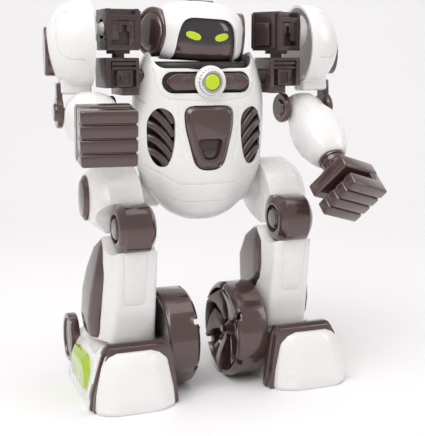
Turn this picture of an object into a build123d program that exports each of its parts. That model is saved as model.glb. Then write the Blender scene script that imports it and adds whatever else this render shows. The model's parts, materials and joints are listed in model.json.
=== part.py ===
from build123d import *
from math import atan, cos, pi, radians, sin, sqrt, tan
import os

# Walking humanoid toy robot, about 25 cm tall, in millimetres.
#
# Every sub-part is built in the robot's own frame: X = 0 is the midplane, the robot faces -Y and
# Z = 0 is the floor. Limb pieces are built for the robot's left side, in a frame at their own joint,
# then mirrored for the right side and placed by the chain of joints. At the end everything moves
# so that the origin is the middle of the bottom of the overall box.

# ---------------------------------------------------------------- driving dimensions
WALL = 2.0                 # shell thickness
GAP = 0.3                  # assembly gap between neighbouring mouldings
RUN = 0.05                 # radial running clearance of every pin in its bore
PIN_R = 3.0                # joint pins of the limbs

SHOULDER_X, SHOULDER_Y = 55.0, -12.0    # vertical axis through each shoulder module
SHOULDER_Z = 233.0                      # height of the arm's swing axis
MODULE_SPLIT_Z = 217.5                  # between the lower and the upper shoulder module
BALL_X, BALL_R = 8.5, 4.5               # shoulder ball, from the module's axis
ARM_OUT, ARM_DROP = 13.0, 51.5          # elbow, from the shoulder ball
PALM_Y, KNUCKLE_Y = 63.0, 88.0          # hand, forward from the elbow
HAND_HALF = 16.0
SLOT_WIDTH = 5.4                        # grip slot of each hand

HIP_Y, HIP_Z = 4.0, 128.0
KNEE_Y, KNEE_Z, KNEE_R = -36.0, 110.3, 15.5
KNEE_X0, KNEE_X1 = 42.2, 66.2           # ends of the knee barrel
ANKLE_Y, ANKLE_Z = 6.0, 28.0
ANKLE_X = 57.0
FOOT_TOP = 38.0
DRUM_X0, DRUM_X1 = 13.3, 34.5
DRUM_Y, DRUM_R = -17.2, 32.3
DRUM_Z = DRUM_R + 0.5                   # the drums hang half a millimetre off the floor

GEAR_MODULE, PINION_TEETH, GEAR_TEETH = 1.0, 12, 26
GEAR_Y, GEAR_Z = -12.0, 136.0            # crank axle
AXLE_R = 2.5
LAMP_Z, LAMP_Y = 200.0, -28.6           # chest lamp
LAMP_TRAVEL = 1.5
CELL_R, CELL_LENGTH = 7.25, 50.5        # penlight cell

# the posture: degrees outward about the vertical, forward swing, forearm droop, hand twist
BLOCK_TURN = {"right": 0.0, "left": 22.0}
ARM_TURN = {"right": 6.0, "left": -18.0}
ARM_SWING = {"right": 0.0, "left": -4.0}
ELBOW_DROOP = {"right": 6.5, "left": 45.0}
HAND_TWIST = {"right": 0.0, "left": 21.0}
HEAD_ROLL = 3.0
SIGN = {"right": -1, "left": 1}

pieces = {}


def turn(x=0.0, y=0.0, z=0.0):
    """A rotation about one of the axes, in degrees."""
    return Location((0, 0, 0), (x, y, z))


def keep(name, builder, place=Location(), side="left"):
    """Store a finished sub-part, mirrored for the right side and moved to its place."""
    solid = builder.part
    if side == "right":
        solid = mirror(solid, about=Plane.YZ)
    pieces[name] = solid.moved(place)


# ---------------------------------------------------------------- rounded body forms
TORSO_Y = -12.0
TORSO_LEVELS = [(110, 7, 4, 7), (116, 19, 10, 18), (127, 32.5, 15.5, 30), (141, 41, 18, 38),
                (160, 44, 18.5, 41), (186, 44.7, 18, 41), (200, 42.7, 17, 39),
                (214, 37.5, 13, 33), (219, 31, 10, 28)]
HEAD_Y = -4.0
HEAD_LEVELS = [(213.5, 21, 19, 21), (222, 30, 23.5, 27), (232, 32.5, 24.5, 28),
               (242, 29, 21, 25), (248, 20, 14, 17), (251.5, 9, 6, 8)]


def lofted(levels, centre_y, shrink=0.0, inset_z=0.0):
    """A closed solid through oval sections of given half width, front depth and back depth."""
    low, high = levels[0][0], levels[-1][0]
    with BuildPart() as form:
        for z, half, front, back in levels:
            level = z + inset_z * ((z == low) - (z == high))
            a, f, b = half - shrink, front - shrink, back - shrink
            with BuildSketch(Plane.XY.offset(level)):
                with BuildLine():
                    EllipticalCenterArc((0, centre_y), a, b, 0, arc_size=180)
                    EllipticalCenterArc((0, centre_y), a, f, 180, arc_size=180)
                make_face()
        loft()
    return form.part


def block(x, y, z, mode=Mode.ADD):
    """A box between two corners, given as (low, high) along each axis."""
    with Locations(((x[0] + x[1]) / 2, (y[0] + y[1]) / 2, (z[0] + z[1]) / 2)):
        return Box(x[1] - x[0], y[1] - y[0], z[1] - z[0], mode=mode)


def rod_x(x, y, z, r, mode=Mode.ADD):
    """A cylinder along X between two stations."""
    with Locations(Location(((x[0] + x[1]) / 2, y, z), (0, 90, 0))):
        return Cylinder(r, x[1] - x[0], mode=mode)


def rod_y(x, y, z, r, mode=Mode.ADD):
    """A cylinder along Y between two stations."""
    with Locations(Location((x, (y[0] + y[1]) / 2, z), (90, 0, 0))):
        return Cylinder(r, y[1] - y[0], mode=mode)


def rod_z(x, y, z, r, mode=Mode.ADD):
    """A cylinder along Z between two heights."""
    with Locations((x, y, (z[0] + z[1]) / 2)):
        return Cylinder(r, z[1] - z[0], mode=mode)


# ---------------------------------------------------------------- torso
VENT_X, VENT_Z = 31.0, 165.0
CHEST_BAR_HALF, CHEST_BAR_R = 23.3, 6.0
TORSO_SPLIT_Y = -2.0
torso_outer = lofted(TORSO_LEVELS, TORSO_Y)
torso_inner = lofted(TORSO_LEVELS, TORSO_Y, WALL, WALL)
STUD_Z = 203.0


def vent_sketch(grow=0.0):
    """Oval of a side vent, seen from the front."""
    for sign in (-1, 1):
        with Locations((sign * VENT_X, VENT_Z)):
            Ellipse(9.0 + grow, 18.5 + grow)


def shield_sketch(grow=0.0):
    """The chest shield: wide rounded shoulders that taper to a round chin."""
    half, top, low = 17.1 + grow, 184.6 + grow, 143.8 - grow
    Polygon((-half + 6, top), (half - 6, top), (half, top - 9), (half - 5, low + 9),
            (6, low), (-6, low), (-half + 5, low + 9), (-half, top - 9), align=None)


with BuildPart() as torso_openings:
    with BuildSketch(Plane.XZ.offset(60)):
        vent_sketch(GAP)
        shield_sketch(GAP)
        with Locations((0, LAMP_Z)):
            SlotCenterToCenter(2 * CHEST_BAR_HALF, 2 * CHEST_BAR_R + 2 * GAP)
            Circle(8.3 + GAP)
    extrude(amount=-50)
    block((-60, 60), (-60, 60), (211, 240))
    for sign in (-1, 1):
        rod_x(sorted((sign * 30, sign * 60)), SHOULDER_Y, STUD_Z, 5 + GAP)
        rod_x(sorted((sign * 8, sign * 60)), HIP_Y, HIP_Z, 6 + GAP)

with BuildPart() as torso_front:
    add(torso_outer)
    add(torso_inner, mode=Mode.SUBTRACT)
    add(torso_openings.part, mode=Mode.SUBTRACT)
    block((-60, 60), (TORSO_SPLIT_Y, 60), (90, 240), Mode.SUBTRACT)
keep("torso_front_shell", torso_front)

DOOR_X, DOOR_Y, DOOR_Z = 31.0, 10.0, (149.0, 203.6)
CELL_PITCH, CELL_Y, CELL_Z = 14.9, 6.0, 150.8
SCREWS = ((28.5, 141), (36, 190))
with BuildPart() as compartment:
    block((-DOOR_X - 1.6, DOOR_X + 1.6), (-2.8, 60), (DOOR_Z[0] - 1.6, DOOR_Z[1] + 1.6))
    add(torso_outer, mode=Mode.INTERSECT)

with BuildPart() as bosses:
    for x, z in SCREWS:
        for sign in (-1, 1):
            rod_y(sign * x, (TORSO_SPLIT_Y + 0.05, 40), z, 3.6)
    add(torso_outer, mode=Mode.INTERSECT)

with BuildPart() as screw_wells:
    for x, z in SCREWS:
        for sign in (-1, 1):
            rod_y(sign * x, (-3, 40), z, 1.5)
            rod_y(sign * x, (4, 40), z, 2.7)

with BuildPart() as torso_back:
    add(torso_outer)
    add(torso_inner, mode=Mode.SUBTRACT)
    add(torso_openings.part, mode=Mode.SUBTRACT)
    block((-60, 60), (-60, TORSO_SPLIT_Y + 0.05), (90, 240), Mode.SUBTRACT)
    add(compartment.part)
    add(bosses.part)
    add(screw_wells.part, mode=Mode.SUBTRACT)
    block((-DOOR_X, DOOR_X), (-1.5, 60), DOOR_Z, Mode.SUBTRACT)
    for sign in (-1, 1):
        block(sorted((sign * 10, sign * 60)), (-20, TORSO_SPLIT_Y + 0.05), (190, 215), Mode.SUBTRACT)
keep("torso_back_shell", torso_back)

with BuildPart() as battery_door:
    add(torso_outer)
    add(torso_inner, mode=Mode.SUBTRACT)
    block((-DOOR_X + GAP, DOOR_X - GAP), (DOOR_Y, 60), (DOOR_Z[0] + GAP, DOOR_Z[1] - GAP), Mode.INTERSECT)
    for rib in range(5):
        block((-14, 14), (28.1, 60), (160 + 6 * rib, 162 + 6 * rib), Mode.SUBTRACT)
keep("battery_door", battery_door)

with BuildPart() as battery_cells:
    for index in range(4):
        x = CELL_PITCH * (index - 1.5)
        rod_z(x, CELL_Y, (CELL_Z, CELL_Z + CELL_LENGTH - 1.2), CELL_R)
        rod_z(x, CELL_Y, (CELL_Z + CELL_LENGTH - 1.2, CELL_Z + CELL_LENGTH), 2.6)
keep("battery_cells", battery_cells)

with BuildPart() as control_board:
    block((-20, 20), (-18.6, -17), (172, 205))
    block((-4, 4), (-21.4, -18.6), (LAMP_Z - 4, LAMP_Z + 4))
    for x, z in ((-12, 176), (6, 174), (-2, 186)):
        block((x, x + 8), (-17, -14.8), (z, z + 6))
keep("control_board", control_board)

with BuildPart() as chest_bar:
    for front, depth, hole_r in ((29.6, 4.3, 8.3 + GAP), (25.3, 2.2, 4.6)):
        with BuildSketch(Plane.XZ.offset(front)):
            with Locations((0, LAMP_Z)):
                SlotCenterToCenter(2 * CHEST_BAR_HALF, 2 * CHEST_BAR_R)
                Circle(hole_r, mode=Mode.SUBTRACT)
        extrude(amount=-depth)
keep("chest_bar", chest_bar)

with BuildPart() as lamp_bezel:
    rod_y(0, (-34.2, -25.6), LAMP_Z, 8.3)
    rod_y(0, (-31.9, -30.2), LAMP_Z, 10.5)
    rod_y(0, (-40, -20), LAMP_Z, 5.2 + GAP, Mode.SUBTRACT)
    with BuildSketch(Plane.XZ.offset(34.2)):
        with Locations((0, LAMP_Z)):
            with PolarLocations(8.5, 20):
                Circle(0.55)
    extrude(amount=-2.4, mode=Mode.SUBTRACT)
keep("lamp_bezel", lamp_bezel)

with BuildPart() as lamp_button:
    rod_y(0, (-35.2, -28), LAMP_Z, 5.2)
    fillet(lamp_button.faces().sort_by(Axis.Y)[0].edges(), 1.4)
    rod_y(0, (-29, -21.4 - LAMP_TRAVEL - 0.4), LAMP_Z, 4.2)
keep("lamp_button", lamp_button)

with BuildPart() as chest_plate:
    with BuildSketch(Plane.XZ.offset(30.6)):
        shield_sketch()
    extrude(amount=-5.5)
    with BuildSketch(Plane.XZ.offset(30.6)):
        with Locations((0, 157.4)):
            RectangleRounded(17.5, 13, 5)
    extrude(amount=-3.2, mode=Mode.SUBTRACT)
keep("chest_plate", chest_plate)


def make_vent():
    """Side vent insert: oval rim, back wall and slanted ribs that stand clear of it."""
    with BuildPart() as vent:
        with BuildSketch(Plane.XZ.offset(26)):
            with Locations((VENT_X, VENT_Z)):
                Ellipse(9.0, 18.5)
        extrude(amount=-12)
        with BuildSketch(Plane.XZ.offset(40)):
            with Locations((VENT_X, VENT_Z)):
                Ellipse(6.8, 16.2)
        extrude(amount=-24, mode=Mode.SUBTRACT)
        with BuildSketch(Plane.XZ.offset(24)):
            for step in range(-2, 3):
                with Locations(Location((VENT_X, VENT_Z + 6.4 * step), 32)):
                    Rectangle(17, 2.8)
            with Locations((VENT_X, VENT_Z)):
                Ellipse(6.9, 16.3, mode=Mode.INTERSECT)
        extrude(amount=-8.2)
    return vent


vent_form = make_vent()
for side in SIGN:
    keep(side + "_vent", vent_form, side=side)

with BuildPart() as hip_posts:
    for sign in (-1, 1):
        rod_x(sorted((sign * 16, sign * 38.6)), HIP_Y, HIP_Z, 6)
        rod_x(sorted((sign * 38.6, sign * 60)), HIP_Y, HIP_Z, PIN_R)
keep("hip_posts", hip_posts)

with BuildPart() as body_screws:
    for x, z in SCREWS:
        for sign in (-1, 1):
            rod_y(sign * x, (-5, 4), z, 1.3)
            with Locations(Location((sign * x, 5.0, z), (90, 0, 0))):
                Cylinder(2.5, 2.0)
                Box(3.4, 0.7, 2.4, mode=Mode.SUBTRACT)
                Box(0.7, 3.4, 2.4, mode=Mode.SUBTRACT)
keep("body_screws", body_screws)


# ---------------------------------------------------------------- walking drive
def gear_outline(teeth, backlash=0.16, flank_steps=5):
    """Involute outline of an external gear with twenty-degree flanks, as a list of points."""
    pitch_r = GEAR_MODULE * teeth / 2
    base_r = pitch_r * cos(radians(20))
    tip_r, root_r = pitch_r + 0.9 * GEAR_MODULE, pitch_r - 1.15 * GEAR_MODULE
    start_r = max(base_r, root_r + 0.05)
    half_tooth = pi / (2 * teeth) - backlash / (2 * pitch_r) + tan(radians(20)) - radians(20)
    points = []
    for tooth in range(teeth):
        middle = 2 * pi * tooth / teeth
        flank = []
        for step in range(flank_steps + 1):
            r = start_r + (tip_r - start_r) * step / flank_steps
            unrolled = sqrt(max((r / base_r) ** 2 - 1, 0))
            flank.append((r, half_tooth - (unrolled - atan(unrolled))))
        flank.insert(0, (root_r, flank[0][1]))
        for r, angle in flank:
            points.append((r * cos(middle - angle), r * sin(middle - angle)))
        for r, angle in reversed(flank):
            points.append((r * cos(middle + angle), r * sin(middle + angle)))
    return points


GEAR_X = (-14.0, -9.0)
CENTRES = GEAR_MODULE * (PINION_TEETH + GEAR_TEETH) / 2
PINION_Z = GEAR_Z + CENTRES
with BuildPart() as drive_gear:
    with BuildSketch(Plane.YZ.offset(GEAR_X[0])):
        with BuildLine():
            Polyline(*gear_outline(GEAR_TEETH), close=True)
        make_face()
        Circle(AXLE_R, mode=Mode.SUBTRACT)
        with PolarLocations(7.2, 6):
            Circle(2.4, mode=Mode.SUBTRACT)
    extrude(amount=GEAR_X[1] - GEAR_X[0])
keep("drive_gear", drive_gear, Location((0, GEAR_Y, GEAR_Z)))

FRAME_X = ((-17.5, -15.5), (18.5, 20.5))
FRAME_Y = (-19.0, -4.5)
with BuildPart() as crank_axle:
    rod_x((-18, 21), GEAR_Y, GEAR_Z, AXLE_R)
    for x, lift in ((-21, 1), (21, -1)):
        rod_x((x, x + 3), GEAR_Y, GEAR_Z, 5)
        block((x, x + 3), (GEAR_Y - 2, GEAR_Y + 2), sorted((GEAR_Z, GEAR_Z + 7 * lift)))
        rod_x((x, x + 3), GEAR_Y, GEAR_Z + 7 * lift, 2)
keep("crank_axle", crank_axle)

with BuildPart() as motor_pinion:
    with BuildSketch(Plane.YZ.offset(GEAR_X[0] - 0.5)):
        with BuildLine():
            Polyline(*gear_outline(PINION_TEETH), close=True)
        make_face()
    extrude(amount=GEAR_X[1] - GEAR_X[0] + 1)
    rod_x((GEAR_X[1] + 0.5, -5), 0, 0, 1.5)
keep("motor_pinion", motor_pinion, Location((0, GEAR_Y, PINION_Z)))

MOTOR_R = 9.0
with BuildPart() as drive_motor:
    rod_x((-6, 17), GEAR_Y, PINION_Z, MOTOR_R)
    block((-6, 17), (GEAR_Y - 7, GEAR_Y + 7), (PINION_Z - 9, PINION_Z + 9), Mode.INTERSECT)
    rod_x((-7, -6), GEAR_Y, PINION_Z, 3.2)
    rod_x((-8, -4), GEAR_Y, PINION_Z, 1.5 + RUN, Mode.SUBTRACT)
keep("drive_motor", drive_motor)

with BuildPart() as gearbox_frame:
    for x in FRAME_X:
        block(x, FRAME_Y, (129, PINION_Z + 12))
        rod_x(x, GEAR_Y, GEAR_Z, AXLE_R + RUN, Mode.SUBTRACT)
    block((-17, 19), FRAME_Y, (PINION_Z + 10, PINION_Z + 12))
    block((17.3, 19), (GEAR_Y - 5, GEAR_Y + 5), (PINION_Z - 5, PINION_Z + 5))
keep("gearbox_frame", gearbox_frame)


# ---------------------------------------------------------------- head
head_outer = lofted(HEAD_LEVELS, HEAD_Y)
head_inner = lofted(HEAD_LEVELS, HEAD_Y, WALL, WALL)
visor_back = lofted(HEAD_LEVELS, HEAD_Y, 1.6, 0.0)
EYE_X, EYE_Z = 9.5, 228.0
EAR_X, EAR_R, EAR_Y, EAR_Z = 29.5, 14.0, 2.0, 232.5


def window_sketch(grow=0.0):
    """Outline of the visor window, narrower at the brow than at the cheeks."""
    top, low = 238 + grow, 215 - grow
    Polygon((-13 - grow, top), (13 + grow, top), (17 + grow, top - 5), (20 + grow, low + 6),
            (16 + grow, low), (-16 - grow, low), (-20 - grow, low + 6), (-17 - grow, top - 5),
            align=None)


NECK_Z = 217.5
head_place = Location((0, HEAD_Y, NECK_Z), (0, HEAD_ROLL, 0)) * Location((0, -HEAD_Y, -NECK_Z))
with BuildPart() as collar:
    with BuildSketch(Plane.XY.offset(205.8)):
        with Locations((0, -5)):
            Ellipse(28, 16.5)
    extrude(amount=4)
    rod_z(0, HEAD_Y, (209, 211.8), 9)
    with Locations(head_place):
        with Locations((0, HEAD_Y, 216)):
            Cylinder(PIN_R, 12)
keep("collar", collar)

with BuildPart() as head_shell:
    add(head_outer)
    add(head_inner, mode=Mode.SUBTRACT)
    with BuildSketch(Plane.XZ.offset(60)):
        window_sketch(GAP)
    extrude(amount=-58, mode=Mode.SUBTRACT)
    for sign in (-1, 1):
        block(sorted((sign * EAR_X, sign * 60)), (-30, 30), (200, 260), Mode.SUBTRACT)
    rod_z(0, HEAD_Y, (200, 230), PIN_R + RUN, Mode.SUBTRACT)
keep("head_shell", head_shell, head_place)

with BuildPart() as visor:
    add(visor_back)
    add(head_inner, mode=Mode.SUBTRACT)
    with BuildSketch(Plane.XZ.offset(60)):
        window_sketch()
    extrude(amount=-52, mode=Mode.INTERSECT)
    for sign in (-1, 1):
        with BuildSketch(Plane.XZ.offset(60)):
            with Locations(Location((sign * EYE_X, EYE_Z), sign * 14)):
                Ellipse(5.0, 2.6)
        extrude(amount=-50, mode=Mode.SUBTRACT)
keep("visor", visor, head_place)

with BuildPart() as eye_lenses:
    for sign in (-1, 1):
        with BuildSketch(Plane.XZ.offset(28)):
            with Locations(Location((sign * EYE_X, EYE_Z), sign * 14)):
                Ellipse(4.9, 2.5)
        extrude(amount=-4.5)
    add(visor_back, mode=Mode.INTERSECT)
keep("eye_lenses", eye_lenses, head_place)

with BuildPart() as ear_cap:
    rod_x((EAR_X + 0.1, 34.2), EAR_Y, EAR_Z, EAR_R)
    fillet(ear_cap.faces().sort_by(Axis.X)[-1].edges(), 2.5)
    rod_x((33.2, 40), EAR_Y, EAR_Z, 9.0, Mode.SUBTRACT)
    rod_x((30, 35.0), EAR_Y, EAR_Z, 6.5)
for side in SIGN:
    keep(side + "_ear", ear_cap, head_place, side)

# ---------------------------------------------------------------- shoulder modules and arms
STUD_X = 22.5
with BuildPart() as bracket:
    block((-9.8, 11.5), (-13, 13), (196.5, MODULE_SPLIT_Z - 2.3))
    block((-9.8, 1.2), (-13, 13), (192, 197))
    block((-7.5, 7.5), (-14.4, -13), (197.2, 214))
    block((-5.8, 5.8), (-16, -13.2), (208.8, 211.2), Mode.SUBTRACT)
    block((-5, 4.6), (-16, -13.7), (198.4, 207.0), Mode.SUBTRACT)
    block((-3.4, 4.6), (-14.4, -13.2), (199.8, 205.6))
    rod_x((-STUD_X, -9), 0, STUD_Z, 5)
    rod_z(0, 0, (203, 230), 4 + RUN, Mode.SUBTRACT)

with BuildPart() as module:
    block((-10.5, 10.5), (-12, 12), (MODULE_SPLIT_Z + 2.2, 245))
    block((-8, 8), (-20, -9.5), (240.4, 243.2), Mode.SUBTRACT)
    block((-8, 8), (-20, -8), (221.2, 226.4), Mode.SUBTRACT)
    block((-5.8, -3.2), (-20, -10), (228.2, 239), Mode.SUBTRACT)
    block((-13, -10.5), (-6, 8), (222.6, 238.6))
    rod_z(0, 0, (204.5, MODULE_SPLIT_Z + 2.4), 4)
    with Locations((BALL_X, 0, SHOULDER_Z)):
        Sphere(BALL_R + RUN, mode=Mode.SUBTRACT)
    rod_x((BALL_X, 12), 0, SHOULDER_Z, 3.9, Mode.SUBTRACT)

HUB_X = (6.6, 11.4)
with BuildPart() as hub:
    Sphere(BALL_R)
    rod_x((0, 12), 0, 0, 2.2)
    with BuildSketch(Plane.YZ.offset(3.7)):
        Circle(2.4)
    with BuildSketch(Plane.YZ.offset(HUB_X[0])):
        Circle(10.5)
    loft()
    rod_x(HUB_X, 0, 0, 10.5)
    rod_x((HUB_X[1], 26), 0, 0, PIN_R)

SHELL_STATIONS = [(9, 21.5, 26.5), (17, 21.8, 26.8), (25, 19.5, 24.5), (32, 14.5, 18.5), (36.5, 7, 9.5)]
SHELL_MID_Z = -9.5


def shell_form(shrink=0.0, shift=0.0):
    """The egg-shaped shoulder dome, lofted outward from its open rim."""
    with BuildPart() as dome:
        for x, half_y, half_z in SHELL_STATIONS:
            with BuildSketch(Plane.YZ.offset(x - shift)):
                with Locations((0, SHELL_MID_Z)):
                    Ellipse(half_y - shrink, half_z - shrink)
        loft()
    return dome.part


YOKE_TOP = -35.2
dome_outer, dome_inner = shell_form(), shell_form(WALL, WALL)
with BuildPart() as shoulder_shell:
    add(dome_outer)
    add(dome_inner, mode=Mode.SUBTRACT)
    rod_x((HUB_X[1] + 0.4, 32), 0, 0, 5.5)
    rod_x((0, 26.4), 0, 0, PIN_R + RUN, Mode.SUBTRACT)
    block((-5, 45), (-30, 30), (-60, YOKE_TOP + GAP), Mode.SUBTRACT)

with BuildPart() as shoulder_cap:
    with BuildSketch(Plane.YZ.offset(31.5)):
        with Locations((0, SHELL_MID_Z - 4.5)):
            Ellipse(8, 15)
    extrude(amount=6.3)
    fillet(shoulder_cap.faces().sort_by(Axis.X)[-1].edges(), 1.5)
    add(dome_outer, mode=Mode.SUBTRACT)

ELBOW_R = 10.0
with BuildPart() as yoke:
    with Locations((ARM_OUT, 0, -ARM_DROP)):
        for x in ((-18.5, -14.5), (14.5, 18.5)):
            rod_x(x, 0, 0, ELBOW_R)
            rod_x((x[0] - 0.7, x[1] + 0.7), 0, 0, 6)
        rod_x((-16, 16), 0, 0, PIN_R)
        block((14.5, 18.5), (-6, 6), (0, ARM_DROP + YOKE_TOP))
        block((-4, 18.5), (-6, 6), (ELBOW_R + 2.2, ARM_DROP + YOKE_TOP))

FOREARM_SECTIONS = [(5, 26, 19), (12, 27, 24), (24, 34, 29), (38, 32, 28), (54, 23, 21)]
with BuildPart() as forearm:
    for y, width, height in FOREARM_SECTIONS:
        with BuildSketch(Plane.XZ.offset(y)):
            RectangleRounded(width, height, height / 2 - 2.5)
    loft()
    rod_x((-13.4, 13.4), 0, 0, 9.5)
    rod_x((-20, 20), 0, 0, PIN_R + RUN, Mode.SUBTRACT)
    rod_y(0, (-60, -44), 0, 4 + RUN, Mode.SUBTRACT)

FINGER_PITCH = HAND_HALF / 2
with BuildPart() as fist:
    rod_y(0, (-55, -45), 0, 4)
    rod_y(0, (-60, -54.4), 0, 8.5)
    rod_y(0, (-PALM_Y, -60), 0, 7)
    block((-HAND_HALF, HAND_HALF), (-KNUCKLE_Y, -PALM_Y), (-HAND_HALF, HAND_HALF))
    chamfer(fist.edges().filter_by(Axis.Z).group_by(Axis.Y)[0], 3.0)
    chamfer(fist.faces().sort_by(Axis.Y)[0].edges().filter_by(Axis.X), 2.0)
    block((-20, 9), (-78.2, -78.2 + SLOT_WIDTH), (-20, 20), Mode.SUBTRACT)
    for z in (-FINGER_PITCH, 0, FINGER_PITCH):
        block((-20, 20), (-90, -86.4), (z - 0.7, z + 0.7), Mode.SUBTRACT)

arm_frames = {}
for side, sign in SIGN.items():
    module_at = Location((sign * SHOULDER_X, SHOULDER_Y, 0)) * turn(z=sign * BLOCK_TURN[side])
    hub_at = module_at * Location((sign * BALL_X, 0, SHOULDER_Z)) * turn(z=sign * ARM_TURN[side])
    arm_at = hub_at * turn(x=ARM_SWING[side])
    elbow_at = arm_at * Location((sign * ARM_OUT, 0, -ARM_DROP)) * turn(x=ELBOW_DROOP[side])
    hand_at = elbow_at * turn(y=sign * HAND_TWIST[side])
    arm_frames[side] = {"module": module_at, "hub": hub_at, "arm": arm_at,
                        "elbow": elbow_at, "hand": hand_at}
    keep(side + "_shoulder_bracket", bracket, Location((sign * SHOULDER_X, SHOULDER_Y, 0)), side)
    keep(side + "_shoulder_block", module, module_at, side)
    keep(side + "_shoulder_hub", hub, hub_at, side)
    keep(side + "_shoulder_shell", shoulder_shell, arm_at, side)
    keep(side + "_shoulder_cap", shoulder_cap, arm_at, side)
    keep(side + "_elbow_yoke", yoke, arm_at, side)
    keep(side + "_forearm", forearm, elbow_at, side)
    keep(side + "_fist", fist, hand_at, side)

# ---------------------------------------------------------------- legs
THIGH_X = (44.0, 72.5)
EYE_R = 8.0
with BuildPart() as thigh:
    with BuildSketch(Plane.YZ.offset(THIGH_X[0])):
        with Locations((HIP_Y, HIP_Z)):
            Circle(19)
        with Locations((-14, 116)):
            Circle(12)
        make_hull()
    extrude(amount=THIGH_X[1] - THIGH_X[0])
    fillet(thigh.edges().group_by(Axis.X)[-1], 7)
    fillet(thigh.edges().group_by(Axis.X)[0], 2)
    with BuildSketch(Plane.YZ.offset(39.2)):
        with Locations((HIP_Y, HIP_Z)):
            Circle(8.5)
    with BuildSketch(Plane.YZ.offset(THIGH_X[0])):
        with Locations((HIP_Y, HIP_Z)):
            Circle(13)
    loft()
    rod_x((30, 80), KNEE_Y, KNEE_Z, KNEE_R + 0.8, Mode.SUBTRACT)
    block((50.2, 58.2), (KNEE_Y, -14), (KNEE_Z - 5, KNEE_Z + 7))
    rod_x((50.2, 58.2), KNEE_Y, KNEE_Z, EYE_R)
    rod_x((39, 60.2), HIP_Y, HIP_Z, PIN_R + RUN, Mode.SUBTRACT)
    rod_x((40, 60), KNEE_Y, KNEE_Z, PIN_R + RUN, Mode.SUBTRACT)

with BuildPart() as thigh_cap:
    with BuildSketch(Plane.YZ.offset(THIGH_X[1] + 0.1)):
        with Locations((3, 124)):
            Ellipse(8.5, 13.5)
    extrude(amount=4.5)
    fillet(thigh_cap.faces().sort_by(Axis.X)[-1].edges(), 2)

KNEE_SLOT = (49.7, 58.7)
with BuildPart() as knee_barrel:
    rod_x((KNEE_X0, KNEE_X1), KNEE_Y, KNEE_Z, KNEE_R)
    fillet(knee_barrel.edges().filter_by(GeomType.CIRCLE), 3)
    for x in ((KNEE_X0 - 1, KNEE_X0 + 3), (KNEE_X1 - 3, KNEE_X1 + 1)):
        rod_x(x, KNEE_Y, KNEE_Z, 9, Mode.SUBTRACT)
    for x in ((KNEE_X0 - 0.6, KNEE_X0 + 4), (KNEE_X1 - 4, KNEE_X1 + 0.6)):
        rod_x(x, KNEE_Y, KNEE_Z, 6.8)
    rod_x(KNEE_SLOT, KNEE_Y, KNEE_Z, EYE_R + 0.8, Mode.SUBTRACT)
    for tilt in (-24, 0, 24):
        with Locations(Location((sum(KNEE_SLOT) / 2, KNEE_Y, KNEE_Z), (tilt, 0, 0))):
            with Locations((0, 10, 1)):
                Box(KNEE_SLOT[1] - KNEE_SLOT[0], 20, 13.6, mode=Mode.SUBTRACT)
    rod_x((KNEE_SLOT[0] - 1, KNEE_SLOT[1] + 1), KNEE_Y, KNEE_Z, PIN_R)

SHIN_TOP, SHIN_LOW = 97.0, 40.5


def shin_outline(front_y, side_y, back_y, front_half, side_x, middle=55.0):
    """Half-hexagonal section of the shin: flat front, slanted cheeks, open back."""
    Polyline((middle - front_half, front_y), (middle + front_half, front_y),
             (side_x[1], side_y), (side_x[1] - 1, back_y), (side_x[0] + 1, back_y),
             (side_x[0], side_y), close=True)


with BuildPart() as shin_shell:
    with BuildSketch(Plane.XY.offset(SHIN_TOP)):
        with BuildLine():
            shin_outline(-43.5, -34, -22, 11.3, (39, 72))
        make_face()
    with BuildSketch(Plane.XY.offset(70)):
        with BuildLine():
            shin_outline(-41, -30, -15, 12.2, (37.2, 75))
        make_face()
    with BuildSketch(Plane.XY.offset(SHIN_LOW)):
        with BuildLine():
            shin_outline(-33.5, -21, -8, 11.8, (37.5, 74.5))
        make_face()
    loft(ruled=True)
    rod_x((30, 80), KNEE_Y, KNEE_Z, KNEE_R + GAP, Mode.SUBTRACT)

with BuildPart() as shin_core:
    for z, front, back, x0, x1 in ((95.5, -21.4, -5, 40.5, 71), (70, -14.4, 9, 37, 77),
                                   (36, -6, 24, 38, 76)):
        with BuildSketch(Plane.XY.offset(z)):
            with Locations(((x0 + x1) / 2, (front + back) / 2)):
                RectangleRounded(x1 - x0, back - front, 5)
    loft(ruled=True)
    block((44, 64), (KNEE_Y + 8, -10), (92, 101))
    rod_x((30, 80), KNEE_Y, KNEE_Z, KNEE_R + 0.02, Mode.SUBTRACT)
    add(shin_shell.part, mode=Mode.SUBTRACT)
    block((ANKLE_X - 4, ANKLE_X + 4), (ANKLE_Y - 6, ANKLE_Y + 6), (ANKLE_Z, 38))
    rod_x((ANKLE_X - 4, ANKLE_X + 4), ANKLE_Y, ANKLE_Z, 7)
    rod_x((40, 80), ANKLE_Y, ANKLE_Z, PIN_R + RUN, Mode.SUBTRACT)

BAND_Y = (-56.0, -50.0)
FOOT_BACK = 38.0
TREAD = 0.0


def trapezoid(half_low, half_top, low, top, middle_low, middle_top, corner):
    """Foot section seen from the front, with clipped upper corners."""
    Polyline((middle_low - half_low, low), (middle_low + half_low, low),
             (middle_top + half_top, top - corner), (middle_top + half_top - corner, top),
             (middle_top - half_top + corner, top), (middle_top - half_top, top - corner), close=True)


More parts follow.
